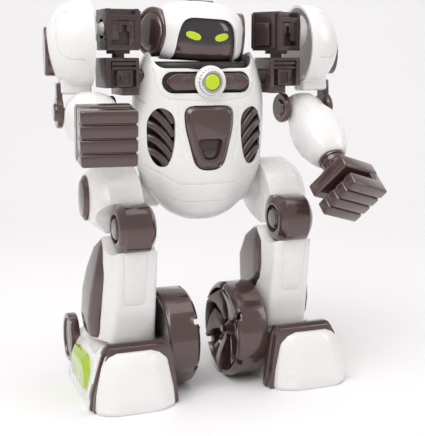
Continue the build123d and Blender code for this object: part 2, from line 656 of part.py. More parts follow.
with BuildPart() as foot_shell:
    for y, half_low, half_top, top in ((-BAND_Y[1] - 0.2, 24, 21, 38), (10, 24.5, 22, 33.5),
                                       (-24, 22.5, 19, 33), (-FOOT_BACK, 17, 13, 26)):
        with BuildSketch(Plane.XZ.offset(y)):
            with BuildLine():
                trapezoid(half_low, half_top, TREAD, top, 61.2, 59.5, 6)
            make_face()
    loft(ruled=True)
    block((36, 80), (-30, 30), (33.5, 50), Mode.SUBTRACT)
    block((ANKLE_X - 6, ANKLE_X + 6), (ANKLE_Y - 9, ANKLE_Y + 9), (ANKLE_Z - 9, 60), Mode.SUBTRACT)
    rod_x((ANKLE_X - 7, ANKLE_X + 7), ANKLE_Y, ANKLE_Z, PIN_R)
    block((80, 90), (-40, 4), (5, 29), Mode.SUBTRACT)
    block((20, 36.6), (-49, 20), (-1, 60), Mode.SUBTRACT)
    rod_x((22, 40), DRUM_Y, DRUM_Z, PIN_R)

with BuildPart() as foot_light:
    with BuildSketch(Plane.YZ.offset(80.1)):
        Polygon((-39.5, 8), (-30, 5.5), (3, 9), (3.5, 24), (-6, 28.7), (-32, 28.7), (-39.5, 22), align=None)
    extrude(amount=6.5, taper=18)

with BuildPart() as foot_trim:
    with BuildSketch(Plane.XZ.offset(-BAND_Y[1])):
        with BuildLine():
            trapezoid(27.5, 21, TREAD, 40, 60, 57, 7)
        make_face()
    extrude(amount=BAND_Y[1] - BAND_Y[0])
    with BuildSketch(Plane.YZ.offset(79)):
        with Locations((24, 27)):
            Ellipse(9, 13)
    extrude(amount=6)
    add(foot_shell.part, mode=Mode.SUBTRACT)

with BuildPart() as toe_cap:
    for y, half_low, half_top, top in ((56.2, 26.5, 17, 35), (61, 25.5, 16, 33), (65, 21, 12, 26)):
        with BuildSketch(Plane.XZ.offset(y)):
            with BuildLine():
                trapezoid(half_low, half_top, TREAD, top, 60, 58.5, 6)
            make_face()
    loft(ruled=True)

BLADES = 6
with BuildPart() as drum:
    rod_x((DRUM_X0, DRUM_X1), DRUM_Y, DRUM_Z, DRUM_R)
    fillet(drum.faces().sort_by(Axis.X)[0].edges(), 1.5)
    rod_x((DRUM_X0 - 1, DRUM_X0 + 9), DRUM_Y, DRUM_Z, DRUM_R - 3.5, Mode.SUBTRACT)
    with BuildSketch(Plane.YZ.offset(DRUM_X0 + 1.0)):
        with Locations((DRUM_Y, DRUM_Z)):
            with PolarLocations(17.5, BLADES):
                Ellipse(12.5, 5.2)
            Circle(7)
    extrude(amount=8.2)
    rod_x((DRUM_X0 - 1, DRUM_X0 + 4), DRUM_Y, DRUM_Z, 4, Mode.SUBTRACT)
    rod_x((DRUM_X1 - 10, DRUM_X1 + 1), DRUM_Y, DRUM_Z, DRUM_R - 4, Mode.SUBTRACT)
    rod_x((DRUM_X0 + 6, DRUM_X1), DRUM_Y, DRUM_Z, 8)
    rod_x((21.5, 40), DRUM_Y, DRUM_Z, PIN_R + RUN, Mode.SUBTRACT)

for side in SIGN:
    for name, form in (("thigh", thigh), ("thigh_cap", thigh_cap), ("knee_barrel", knee_barrel),
                       ("shin_shell", shin_shell), ("shin_core", shin_core),
                       ("foot_shell", foot_shell), ("foot_light", foot_light),
                       ("foot_trim", foot_trim), ("toe_cap", toe_cap), ("drum", drum)):
        keep(side + "_" + name, form, side=side)

# ---------------------------------------------------------------- shared origin and export
boxes = [solid.bounding_box() for solid in pieces.values()]
low = [min(getattr(box.min, axis) for box in boxes) for axis in "XYZ"]
high = [max(getattr(box.max, axis) for box in boxes) for axis in "XYZ"]
ORIGIN = Location((-(low[0] + high[0]) / 2, -(low[1] + high[1]) / 2, -low[2]))
os.makedirs("parts", exist_ok=True)
for name, solid in pieces.items():
    placed = solid.moved(ORIGIN)
    placed.label = name
    export_step(placed, f"parts/{name}.step")
print(len(pieces), "pieces; low", low, "high", high)
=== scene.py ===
import json
import math

import bpy
import bmesh
from mathutils import Matrix, Vector
from mathutils.bvhtree import BVHTree


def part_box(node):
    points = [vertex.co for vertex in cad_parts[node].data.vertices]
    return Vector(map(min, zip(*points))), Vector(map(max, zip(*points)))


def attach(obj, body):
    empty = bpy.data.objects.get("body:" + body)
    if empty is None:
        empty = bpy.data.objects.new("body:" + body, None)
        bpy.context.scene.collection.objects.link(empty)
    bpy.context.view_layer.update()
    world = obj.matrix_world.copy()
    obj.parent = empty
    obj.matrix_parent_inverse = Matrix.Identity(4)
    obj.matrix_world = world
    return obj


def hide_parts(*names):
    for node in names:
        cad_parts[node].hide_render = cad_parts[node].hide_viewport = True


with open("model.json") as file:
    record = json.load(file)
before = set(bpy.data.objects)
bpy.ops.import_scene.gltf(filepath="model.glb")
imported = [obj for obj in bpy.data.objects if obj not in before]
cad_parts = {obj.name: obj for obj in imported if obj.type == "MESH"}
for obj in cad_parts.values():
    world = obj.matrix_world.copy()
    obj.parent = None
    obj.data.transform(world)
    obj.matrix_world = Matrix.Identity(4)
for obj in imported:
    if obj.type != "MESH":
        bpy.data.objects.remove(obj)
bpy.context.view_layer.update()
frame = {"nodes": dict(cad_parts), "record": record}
MM = 0.001

# The midplane and the depth come from the chest lamp, whose front stands this far before the origin
# of the robot's own frame: X = 0 midplane, the robot faces -Y, Z = 0 floor, millimetres.
LAMP_FRONT = 34.2
lamp_low, lamp_high = (Vector(c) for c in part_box("lamp_bezel"))
SHIFT = Vector(((lamp_low.x + lamp_high.x) / 2, lamp_low.y + LAMP_FRONT * MM, 0.0))
SIDES = {"right": -1, "left": 1}


def at(x, y, z):
    """A place in the robot's own frame, in millimetres, as a point in metres."""
    return Vector((x * MM, y * MM, z * MM)) + SHIFT


# -------- materials
def nodes_of(name):
    """A fresh material with its node tree emptied down to the output and one principled shader."""
    material = bpy.data.materials.new(name)
    material.use_nodes = True
    tree = material.node_tree
    tree.nodes.clear()
    output = tree.nodes.new("ShaderNodeOutputMaterial")
    shader = tree.nodes.new("ShaderNodeBsdfPrincipled")
    tree.links.new(shader.outputs["BSDF"], output.inputs["Surface"])
    return material, tree, shader


def noise(tree, scale, detail, rough=0.5):
    """A noise texture in object space."""
    coordinates = tree.nodes.new("ShaderNodeTexCoord")
    texture = tree.nodes.new("ShaderNodeTexNoise")
    texture.inputs["Scale"].default_value = scale
    texture.inputs["Detail"].default_value = detail
    texture.inputs["Roughness"].default_value = rough
    tree.links.new(coordinates.outputs["Object"], texture.inputs["Vector"])
    return texture.outputs["Fac"]


def spread(tree, value, low, high, start=0.3, end=0.7):
    """Maps a 0-1 value between two results."""
    ranged = tree.nodes.new("ShaderNodeMapRange")
    ranged.inputs["From Min"].default_value = start
    ranged.inputs["From Max"].default_value = end
    ranged.inputs["To Min"].default_value = low
    ranged.inputs["To Max"].default_value = high
    tree.links.new(value, ranged.inputs["Value"])
    return ranged.outputs["Result"]


def mixed(tree, factor, first, second):
    """A colour between two, each a constant or another node's output."""
    mix = tree.nodes.new("ShaderNodeMix")
    mix.data_type = "RGBA"
    tree.links.new(factor, mix.inputs[0])
    for colour, socket in ((first, mix.inputs[6]), (second, mix.inputs[7])):
        if isinstance(colour, tuple):
            socket.default_value = (*colour, 1.0)
        else:
            tree.links.new(colour, socket)
    return mix.outputs[2]


def moulded(name, colour, worn, rough, coat=0.0, metal=0.0, glow=0.0, grain=0.02):
    """Moulded or lacquered surface: slight cloudiness, worn corners, uneven gloss, fine grain."""
    material, tree, shader = nodes_of(name)
    cloud = noise(tree, 55, 3)
    deep = tuple(c * 0.98 for c in colour)
    base = mixed(tree, spread(tree, cloud, 0.0, 1.0), colour, deep)
    geometry = tree.nodes.new("ShaderNodeNewGeometry")
    corner = spread(tree, geometry.outputs["Pointiness"], 0.0, 0.45, 0.54, 0.66)
    fleck = spread(tree, noise(tree, 420, 4, 0.7), 0.0, 1.0, 0.45, 0.6)
    wear = tree.nodes.new("ShaderNodeMath")
    wear.operation = "MULTIPLY"
    tree.links.new(corner, wear.inputs[0])
    tree.links.new(fleck, wear.inputs[1])
    tree.links.new(mixed(tree, wear.outputs[0], base, worn), shader.inputs["Base Color"])
    tree.links.new(spread(tree, noise(tree, 130, 5), rough * 0.8, rough * 1.3),
                   shader.inputs["Roughness"])
    bump = tree.nodes.new("ShaderNodeBump")
    bump.inputs["Strength"].default_value = grain
    bump.inputs["Distance"].default_value = 0.0003
    tree.links.new(noise(tree, 260, 4), bump.inputs["Height"])
    tree.links.new(bump.outputs["Normal"], shader.inputs["Normal"])
    shader.inputs["Metallic"].default_value = metal
    shader.inputs["Coat Weight"].default_value = coat
    shader.inputs["Coat Roughness"].default_value = 0.06
    if glow:
        shader.inputs["Emission Color"].default_value = (*colour, 1.0)
        shader.inputs["Emission Strength"].default_value = glow
    return material


FINISHES = {
    "white_shell": moulded("white plastic", (0.84, 0.825, 0.82), (0.865, 0.852, 0.848), 0.24, coat=0.35),
    "brown_trim": moulded("pearl brown lacquer", (0.085, 0.048, 0.046), (0.24, 0.17, 0.16), 0.20,
                          coat=0.9, metal=0.30, grain=0.008),
    "dark_frame": moulded("black plastic", (0.022, 0.018, 0.018), (0.09, 0.08, 0.08), 0.42),
    "vent_dark": moulded("dark brown plastic", (0.058, 0.036, 0.034), (0.12, 0.09, 0.09), 0.28, coat=0.5),
    # Near-black visor: the part left above the brown face plate is painted shade under the helmet's brim.
    "visor_gloss": moulded("visor", (0.020, 0.015, 0.016), (0.05, 0.05, 0.05), 0.07, coat=1.0, grain=0.0),
    "lime_lens": moulded("lime lens", (0.50, 0.62, 0.012), (0.75, 0.83, 0.2), 0.12, coat=0.6,
                         glow=0.12, grain=0.0),
    "light_lens": moulded("foot lens", (0.36, 0.50, 0.03), (0.6, 0.72, 0.2), 0.14, coat=0.6,
                          glow=0.10, grain=0.0),
    "steel_pin": moulded("steel", (0.62, 0.61, 0.60), (0.8, 0.8, 0.8), 0.25, metal=1.0),
    "motor_can": moulded("motor can", (0.55, 0.54, 0.53), (0.75, 0.75, 0.75), 0.33, metal=1.0),
    "gear_white": moulded("acetal", (0.72, 0.70, 0.64), (0.8, 0.8, 0.78), 0.45),
    "cell": moulded("cell wrap", (0.05, 0.07, 0.10), (0.3, 0.3, 0.3), 0.3, coat=0.3),
    "board": moulded("circuit board", (0.01, 0.09, 0.035), (0.3, 0.26, 0.1), 0.4),
    "module_brown": moulded("dark brown plastic body", (0.050, 0.030, 0.028), (0.15, 0.11, 0.10), 0.30,
                            coat=0.35),
    # Near-black colour for sheets that paint the shade inside recesses.
    "shadow": moulded("painted recess shade", (0.006, 0.005, 0.005), (0.02, 0.02, 0.02), 0.6),
}

SLOT_OF = {part["node"]: part["material_slot"] for part in frame["record"]["subparts"]}


def smooth(thing, degrees):
    """Smooth shading with every edge sharper than the angle kept crisp."""
    mesh = thing.data
    mesh.polygons.foreach_set("use_smooth", [True] * len(mesh.polygons))
    mesh.set_sharp_from_angle(angle=math.radians(degrees))
    mesh.update()


def paint(thing, finish):
    """Gives the whole object one finish."""
    thing.data.materials.clear()
    thing.data.materials.append(FINISHES[finish])


for name, node in frame["nodes"].items():
    paint(node, SLOT_OF[name])

# -------- shape kit (millimetres)
ROBOT = Matrix.Translation(SHIFT) @ Matrix.Scale(MM, 4)
MIRROR = Matrix.Scale(-1, 4, (1, 0, 0))


def rounded(shape, radius, segments=3, degrees=30):
    """Rounds the edges of a bmesh that are sharper than the angle."""
    if radius > 0:
        shape.normal_update()
        sharp = [e for e in shape.edges if len(e.link_faces) == 2
                 and e.calc_face_angle(0.0) > math.radians(degrees)]
        bmesh.ops.bevel(shape, geom=sharp, offset=radius, segments=segments, profile=0.5,
                        affect="EDGES", clamp_overlap=True)
    return shape


def rings(sections, radius=0.0):
    """A closed form through rings of equally many points, with flat ends."""
    shape = bmesh.new()
    rows = [[shape.verts.new(p) for p in section] for section in sections]
    count = len(rows[0])
    for low, high in zip(rows, rows[1:]):
        for i in range(count):
            j = (i + 1) % count
            shape.faces.new((low[i], low[j], high[j], high[i]))
    shape.faces.new(rows[0][::-1])
    shape.faces.new(rows[-1])
    bmesh.ops.recalc_face_normals(shape, faces=shape.faces)
    return rounded(shape, radius)


def box(x, y, z, radius=0.0):
    """A block from its three spans, its edges rounded to the radius."""
    return rings([[(x[0], y[0], h), (x[1], y[0], h), (x[1], y[1], h), (x[0], y[1], h)] for h in z],
                 radius)


def lay(axis, a, b, c):
    """A point from two coordinates across an axis and one along it."""
    return {"X": (c, a, b), "Y": (a, c, b), "Z": (a, b, c)}[axis]


def prism(outline, span, axis="Y", taper=1.0):
    """An outline pushed along an axis; taper scales its far end about the outline's middle."""
    mid_a = sum(p[0] for p in outline) / len(outline)
    mid_b = sum(p[1] for p in outline) / len(outline)
    sections = []
    for level, k in ((span[0], 1.0), (span[1], taper)):
        sections.append([lay(axis, mid_a + (a - mid_a) * k, mid_b + (b - mid_b) * k, level)
                         for a, b in outline])
    return rings(sections)


def oval(a, b, half_a, half_b, count=40, power=2.0, turn=0.0):
    """Points of a superellipse; power 2 is an ellipse and more is squarer."""
    points = []
    for step in range(count):
        t = 2 * math.pi * step / count
        c, s = math.cos(t), math.sin(t)
        u = half_a * math.copysign(abs(c) ** (2 / power), c)
        v = half_b * math.copysign(abs(s) ** (2 / power), s)
        points.append((a + u * math.cos(turn) - v * math.sin(turn),
                       b + u * math.sin(turn) + v * math.cos(turn)))
    return points


def rod(axis, span, centre, profile, sides=48):
    """A turned form: profile is a radius or a list of (share of the span, radius)."""
    if not isinstance(profile, list):
        profile = [(0, profile), (1, profile)]
    return rings([[lay(axis, centre[0] + r * math.cos(2 * math.pi * k / sides),
                       centre[1] + r * math.sin(2 * math.pi * k / sides),
                       span[0] + (span[1] - span[0]) * share) for k in range(sides)]
                  for share, r in profile])


def rounded_outline(corners, radius, steps=5):
    """A polygon with every corner rounded to the radius, or to each corner's own third value."""
    result = []
    count = len(corners)
    for i, corner in enumerate(corners):
        here = Vector(corner[:2])
        r = corner[2] if len(corner) > 2 else radius
        before = Vector(corners[i - 1][:2]) - here
        after = Vector(corners[(i + 1) % count][:2]) - here
        reach_a = min(r, before.length * 0.49)
        reach_b = min(r, after.length * 0.49)
        start = here + before.normalized() * reach_a
        end = here + after.normalized() * reach_b
        for k in range(steps + 1):
            t = k / steps
            p = start.lerp(here, t).lerp(here.lerp(end, t), t)
            result.append((p.x, p.y))
    return result


def tube(path, radius, sides):
    """A round tube along a path of points."""
    points = [Vector(p) for p in path]
    shape = bmesh.new()
    rows = []
    for i, p in enumerate(points):
        ahead = points[min(i + 1, len(points) - 1)] - points[max(i - 1, 0)]
        ahead.normalize()
        side = ahead.orthogonal().normalized() if i == 0 else (side - ahead * side.dot(ahead)).normalized()
        other = ahead.cross(side)
        rows.append([shape.verts.new(p + radius * (side * math.cos(2 * math.pi * k / sides)
                                                   + other * math.sin(2 * math.pi * k / sides)))
                     for k in range(sides)])
    for low, high in zip(rows, rows[1:]):
        for k in range(sides):
            shape.faces.new((low[k], low[(k + 1) % sides], high[(k + 1) % sides], high[k]))
    shape.faces.new(rows[0][::-1])
    shape.faces.new(rows[-1])
    bmesh.ops.recalc_face_normals(shape, faces=shape.faces)
    return shape


def as_object(shape, name="part"):
    """A new object that holds the shape."""
    mesh = bpy.data.meshes.new(name)
    shape.to_mesh(mesh)
    thing = bpy.data.objects.new(name, mesh)
    bpy.context.scene.collection.objects.link(thing)
    return thing


def combine(base, others, operation):
    """Adds or takes away each of the others and returns the base object."""
    for other in others:
        tool = other if isinstance(other, bpy.types.Object) else as_object(other, "tool")
        modifier = base.modifiers.new("join", "BOOLEAN")
        modifier.operation, modifier.solver, modifier.object = operation, "EXACT", tool
        modifier.use_self = operation == "DIFFERENCE"
        bpy.context.view_layer.update()
        result = bpy.data.meshes.new_from_object(
            base.evaluated_get(bpy.context.evaluated_depsgraph_get()))
        base.modifiers.clear()
        base.data = result
        bpy.data.objects.remove(tool)
    return base


def finish_piece(thing, name, body, finish, place=ROBOT, side="left", nodes=(), edge=0.0, angle=32):
    """Rounds, places, paints and names a finished piece, and rides it on its body."""
    shape = bmesh.new()
    shape.from_mesh(thing.data)
    bmesh.ops.remove_doubles(shape, verts=shape.verts, dist=0.002)
    bmesh.ops.dissolve_degenerate(shape, dist=0.002, edges=shape.edges)
    rounded(shape, edge, 2, 35)
    shape.transform(place @ MIRROR if side == "right" else place)
    bmesh.ops.recalc_face_normals(shape, faces=shape.faces)
    shape.to_mesh(thing.data)
    thing.data.validate()
    thing.name = thing.data.name = name
    smooth(thing, angle)
    paint(thing, finish)
    if nodes:
        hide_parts(*nodes)
    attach(thing, body)
    return thing


def piece(name, body, finish, parts, cuts=(), **how):
    """A piece from shapes joined together and shapes taken away."""
    thing = combine(combine(as_object(parts[0]), parts[1:], "UNION"), cuts, "DIFFERENCE")
    return finish_piece(thing, name, body, finish, **how)


def cad_copy(node, place, side):
    """The CAD node's own mesh as a loose object, in millimetres in the given local frame."""
    source = frame["nodes"][node]
    mesh = source.data.copy()
    back = (place @ MIRROR if side == "right" else place).inverted()
    mesh.transform(back @ source.matrix_world)
    shape = bmesh.new()
    shape.from_mesh(mesh)
    bmesh.ops.remove_doubles(shape, verts=shape.verts, dist=0.004)
    bmesh.ops.recalc_face_normals(shape, faces=shape.faces)
    shape.to_mesh(mesh)
    mesh.update()
    thing = bpy.data.objects.new(node + " copy", mesh)
    bpy.context.scene.collection.objects.link(thing)
    return thing


def on_surface(thing, path, axis, start, direction, step=2.0):
    """Throws a drawn path onto an object along an axis and returns the points where it lands."""
    tree = BVHTree.FromObject(thing, bpy.context.evaluated_depsgraph_get())
    dense = []
    for p, q in zip(path, path[1:]):
        p, q = Vector(p), Vector(q)
        count = max(1, int((q - p).length / step))
        dense += [p.lerp(q, k / count) for k in range(count)]
    dense.append(Vector(path[-1]))
    aim = Vector(lay(axis, 0, 0, direction))
    landed = []
    for point in dense:
        hit = tree.ray_cast(Vector(lay(axis, point.x, point.y, start)), aim)[0]
        if hit is not None:
            landed.append(hit)
    return landed


def grooved(thing, lines, radius):
    """Cuts a fine round groove along each line of surface points."""
    return combine(thing, [tube(line, radius, 6) for line in lines if len(line) > 1], "DIFFERENCE")


# -------- places of the limbs
JOINT = {joint["name"]: joint for joint in frame["record"]["behaviour"]["joints"]}
MODULE_TURN = {"right": 0.0, "left": 22.0}
HAND_TWIST = {"right": 0.0, "left": 21.0}


def placed(origin, x_axis, y_axis):
    """A frame in millimetres from its origin in metres and two of its axes."""
    x_axis, y_axis = Vector(x_axis).normalized(), Vector(y_axis)
    z_axis = x_axis.cross(y_axis).normalized()
    y_axis = z_axis.cross(x_axis)
    turned = Matrix((x_axis, y_axis, z_axis)).transposed().to_4x4()
    return Matrix.Translation(Vector(origin)) @ turned @ Matrix.Scale(MM, 4)


MODULE, ARM, ELBOW, HAND = {}, {}, {}, {}
ELBOW_OUT, ELBOW_DROP = 13.0, 51.5
for side, sign in SIDES.items():
    swing, bend = JOINT[side + "_arm_swing"], JOINT[side + "_elbow_bend"]
    shoulder = Vector(JOINT[side + "_shoulder_turn"]["pos_m"])
    shoulder.z = 0.0
    MODULE[side] = (Matrix.Translation(shoulder)
                    @ Matrix.Rotation(math.radians(sign * MODULE_TURN[side]), 4, "Z")
                    @ Matrix.Scale(MM, 4))
    axis = Vector(swing["axis"])
    down = Vector(bend["pos_m"]) - Vector(swing["pos_m"]) - sign * ELBOW_OUT * MM * axis
    ARM[side] = placed(swing["pos_m"], axis, (-down).cross(axis))
    ELBOW[side] = placed(bend["pos_m"], axis, JOINT[side + "_wrist_turn"]["axis"])
    HAND[side] = ELBOW[side] @ Matrix.Rotation(math.radians(sign * HAND_TWIST[side]), 4, "Y")

# -------- fists
# In the hand's own frame -Y runs from the wrist to the knuckles and X lies along the elbow's pin.
PALM_Y, FINGER_Y, KNUCKLE_Y, FIST_HALF = 63.0, 78.2, 88.0, 16.0
FINGERS, FINGER_HALF = 4, 3.75
RIBS, RIB_R, RIB_HALF = 8, 8.0, 1.2
WRIST_PIN, WRIST_HOLE, PIN_HOLE = 3.95, 4.1, 3.1


def fist(side):
    """A square fist with four fingers around its grip slot, on a ribbed wrist."""
    parts = [box((-FIST_HALF, FIST_HALF), (-72.8, -PALM_Y), (-FIST_HALF, FIST_HALF), 1.6),
             box((8.6, FIST_HALF - 0.3), (-83, -70), (-FIST_HALF + 0.4, FIST_HALF - 0.4), 1.2),
             box((-FIST_HALF + 0.8, FIST_HALF - 0.8), (-86.4, -FINGER_Y - 0.1),
                 (-FIST_HALF + 0.9, FIST_HALF - 0.9), 0.8)]
    for index in range(FINGERS):
        z = (index - 1.5) * FIST_HALF / 2
        parts.append(box((-FIST_HALF, FIST_HALF - 0.4 * (index == 0)), (-KNUCKLE_Y, -FINGER_Y),
                         (z - FINGER_HALF, z + FINGER_HALF), 1.5))
    parts += [rod("Y", (-PALM_Y - 1, -54.4), (0, 0),
                  [(0, 7.6), (0.35, 7.6), (0.4, 8.5), (0.93, 8.5), (1, 7.9)], 40),
              rod("Y", (-56, -45), (0, 0), WRIST_PIN, 24)]
    for k in range(RIBS):
        x = RIB_R * math.cos(math.pi / 4 * k + 0.2)
        z = RIB_R * math.sin(math.pi / 4 * k + 0.2)
        parts.append(box((x - RIB_HALF, x + RIB_HALF), (-60.5, -55.5), (z - RIB_HALF, z + RIB_HALF), 0.3))
    piece(side + "_fist_form", side + "_hand", "brown_trim", parts, place=HAND[side], side=side,
          nodes=[side + "_fist"])


for side in SIDES:
    fist(side)

# -------- shoulder modules
BLOCK_LOW, BLOCK_HIGH, BLOCK_HALF = 219.7, 245, 10.5
STUD_X, STUD, STUD_R, STUD_HOLE = 55.0, (-12.0, 203.0), 4.98, 5.4
TURN_PIN, TURN_HOLE = 3.98, 4.05
STUD_PLACE = {side: ROBOT @ Matrix.Translation((sign * STUD_X, STUD[0], 0)) for side, sign in SIDES.items()}


def shoulder_block(side):
    """The upper module: posts and rails around a recessed face, on the pin that it turns about."""
    core = [box((-BLOCK_HALF, BLOCK_HALF), (-8.0, 12), (BLOCK_LOW, BLOCK_HIGH), 0.5)]
    posts = [box((x - 1.5, x + 1.5), (-12, 12), (BLOCK_LOW, BLOCK_HIGH), 0.4) for x in (-9.0, 9.0)]
    rails = [box((-BLOCK_HALF, BLOCK_HALF), (-12, -7), (z - 1.6, z + 1.6), 0.4) for z in (221.3, 239.6)]
    steps = [box((-8, -4.2), (-11.2, -7), (222, 240), 0.4), box((2.4, 8), (-11.2, -7), (226, 240), 0.4)]
    clip = [box((-4.6, 2.8), (-11.6, -7), (235.2, 237.6), 0.4),
            box((-5, -2.6), (-11.6, -7), (231, 236), 0.4),
            box((0.4, 2.8), (-11.6, -7), (231, 236), 0.4)]
    inner_side = [box((-12.9, -10), (-5, 8), (223.4, 237.8), 0.6),
                  box((-12.4, -10), (-9.5, -6.5), (221, 244), 0.5),
                  box((-12.4, -10), (9, 11.5), (221, 244), 0.5)]
    pin = [rod("Z", (204.6, 220), (0, 0), TURN_PIN, 32), rod("Z", (217.6, 220), (0, 0), 7.5, 32)]
    cuts = [box((-8, 8), (-14, -9.6), (241.6, 243.4)), rod("X", (4, 14), (0, 233), 6.2, 32)]
    piece(side + "_shoulder_block_form", side + "_shoulder", "module_brown",
          core + posts + rails + steps + clip + inner_side + pin, cuts,
          place=MODULE[side], side=side, nodes=[side + "_shoulder_block"])


def shoulder_bracket(side):
    """The lower bracket: walls, shelves and a plate with two pins, on the stud into the torso."""
    walls = [box((-9.8, 11.5), (-9.5, 13), (196.5, 213.6), 0.5),
             box((-9.8, 11.5), (-13, 13), (213.2, 215.2), 0.4),
             box((-9.8, 1.2), (-13, 13), (192, 197.5), 0.6),
             box((-9.8, -7.6), (-13.6, 9), (196, 214), 0.4),
             box((8.6, 11.5), (-13.6, 9), (197, 214), 0.4)]
    shelves = [box((-7.8, 7.8), (-13.4, -8), z, 0.3) for z in ((208.0, 209.4), (210.8, 212.4))]
    plate = [box((-5, 4.8), (-14.2, -8), (197.4, 207.4), 0.5)]
    plate += [rod("Y", (-14.9, -9), (-0.5, z), [(0, 0.9), (0.1, 1.3), (1, 1.3)], 20)
              for z in (199.9, 203.3)]
    stud = [rod("X", (-22.5, -9), (0, STUD[1]), STUD_R, 32)]
    cuts = [box((-3.6, 2.0), (-16, -12.4), (198.8, 206.0), 0.4),
            box((2.6, 6), (-16, -12.6), (199.6, 204.6), 0.3),
            rod("Z", (203, 230), (0, 0), TURN_HOLE, 32)]
    piece(side + "_shoulder_bracket_form", "torso", "module_brown", walls + shelves + plate + stud, cuts,
          place=STUD_PLACE[side], side=side, nodes=[side + "_shoulder_bracket"])


for side in SIDES:
    shoulder_block(side)
for side in SIDES:
    shoulder_bracket(side)


# -------- rounded body forms
def half_rings(levels, centre_y, shrink=0.0, power=2.0, count=64, fine=4):
    """Smooth stack of ovals: each level is (height, half width, front depth, back depth)."""
    rows = []
    for i in range(len(levels) - 1):
        before, here = levels[max(i - 1, 0)], levels[i]
        ahead, beyond = levels[i + 1], levels[min(i + 2, len(levels) - 1)]
        for k in range(fine):
            t = k / fine
            rows.append([0.5 * (2 * b + (c - a) * t + (2 * a - 5 * b + 4 * c - d) * t * t
                                + (3 * b - a - 3 * c + d) * t ** 3)
                         for a, b, c, d in zip(before, here, ahead, beyond)])
    rows.append(list(levels[-1]))
    sections = []
    for z, half, front, back in rows:
        ring = []
        for step in range(count):
            t = 2 * math.pi * step / count
            c, s = math.cos(t), math.sin(t)
            depth = (front if s < 0 else back) - shrink
            ring.append(((half - shrink) * math.copysign(abs(c) ** (2 / power), c),
                         centre_y + depth * math.copysign(abs(s) ** (2 / power), s), z))
        sections.append(ring)
    return rings(sections)


def slot_outline(middle_z, half, radius, steps=10):
    """A lying capsule, seen from the front."""
    points = []
    for end in (1, -1):
        for k in range(steps + 1):
            t = -math.pi / 2 + math.pi * k / steps
            points.append((end * (half - radius + radius * math.cos(t)),
                           middle_z + end * radius * math.sin(t)))
    return points


# -------- torso
# Each level is (height, half width, front depth, back depth) about the depth TORSO_Y.
TORSO_Y, WALL = -12, 2.4
TORSO_LEVELS = [(110, 10, 6, 9), (112.5, 17, 9.5, 15), (117, 24.5, 12.5, 22), (127, 34, 16, 30.5),
                (141, 41.3, 18, 38), (160, 44, 18.5, 41), (186, 44.7, 18, 41), (200, 43, 17, 39),
                (214, 38.5, 13.5, 33), (220, 34.5, 10.5, 28)]
# Outlines seen from the front are corners (x, z, corner radius).
NECKLINE = [(-32.5, 208.5, 6), (32.5, 208.5, 6), (37.5, 226, 0.1), (-37.5, 226, 0.1)]
SHIELD = [(-16.6, 184.6, 7), (16.6, 184.6, 7), (16.2, 172, 6), (9.2, 144, 8), (-9.2, 144, 8),
          (-16.2, 172, 6)]
MOUTH = [(-8.6, 163.6, 3), (8.6, 163.6, 3), (6.6, 155, 4), (3.8, 150.6, 3.5), (-3.8, 150.6, 3.5),
         (-6.6, 155, 4)]
LIP = [(-5, 156.5, 2), (5, 156.5, 2), (3, 151.6, 2), (-3, 151.6, 2)]
VENT = [(22.4, 180, 7), (33, 185.4, 8), (39.6, 177, 6), (39.2, 156, 7), (34, 146.2, 6), (26.5, 146.4, 7),
        (22.6, 160, 8)]
# Parting lines drawn on the front, as (x, z) points.
CHEST_LINE = [(-35, 208), (-34, 199), (-30.5, 191.5), (-26, 189.4), (0, 187.6), (26, 189.4), (30.5, 191.5),
              (34, 199), (35, 208)]
BELLY_HIGH = [(-40.5, 147), (-18.5, 134.6), (18.5, 134.6), (40.5, 147)]
BELLY_LOW = [(-37.5, 131.5), (-16.5, 122.8), (16.5, 122.8), (37.5, 131.5)]
LAMP = 200.0
HIP, KNEE = (4.0, 128.0), (-36.0, 110.3)
DOOR_HALF, DOOR_LOW, DOOR_HIGH, DOOR_GAP, DOOR_RIBS = 31.0, 149.0, 203.6, 0.4, 5
SCREWS, SCREW_WELL = ((28.5, 141), (36, 190)), 3.4


def grown(outline, amount):
    """The outline moved outward from its middle by about the amount."""
    mid = Vector((sum(p[0] for p in outline), sum(p[1] for p in outline))) / len(outline)
    result = []
    for p in outline:
        away = Vector(p[:2]) - mid
        moved = mid + away * (1 + amount / away.length)
        result.append((moved.x, moved.y) + tuple(p[2:]))
    return result


def flipped(outline):
    """The outline's mirror image, turning the same way round."""
    return [(-p[0], p[1]) + tuple(p[2:]) for p in outline][::-1]


def shaped(outline, span, **how):
    """A rounded outline pushed along Y."""
    return prism(rounded_outline(outline, 3), span, "Y", **how)


def torso_wall():
    """The hollow torso before its openings."""
    return combine(as_object(half_rings(TORSO_LEVELS, TORSO_Y)),
                   [half_rings(TORSO_LEVELS, TORSO_Y, WALL)], "DIFFERENCE")


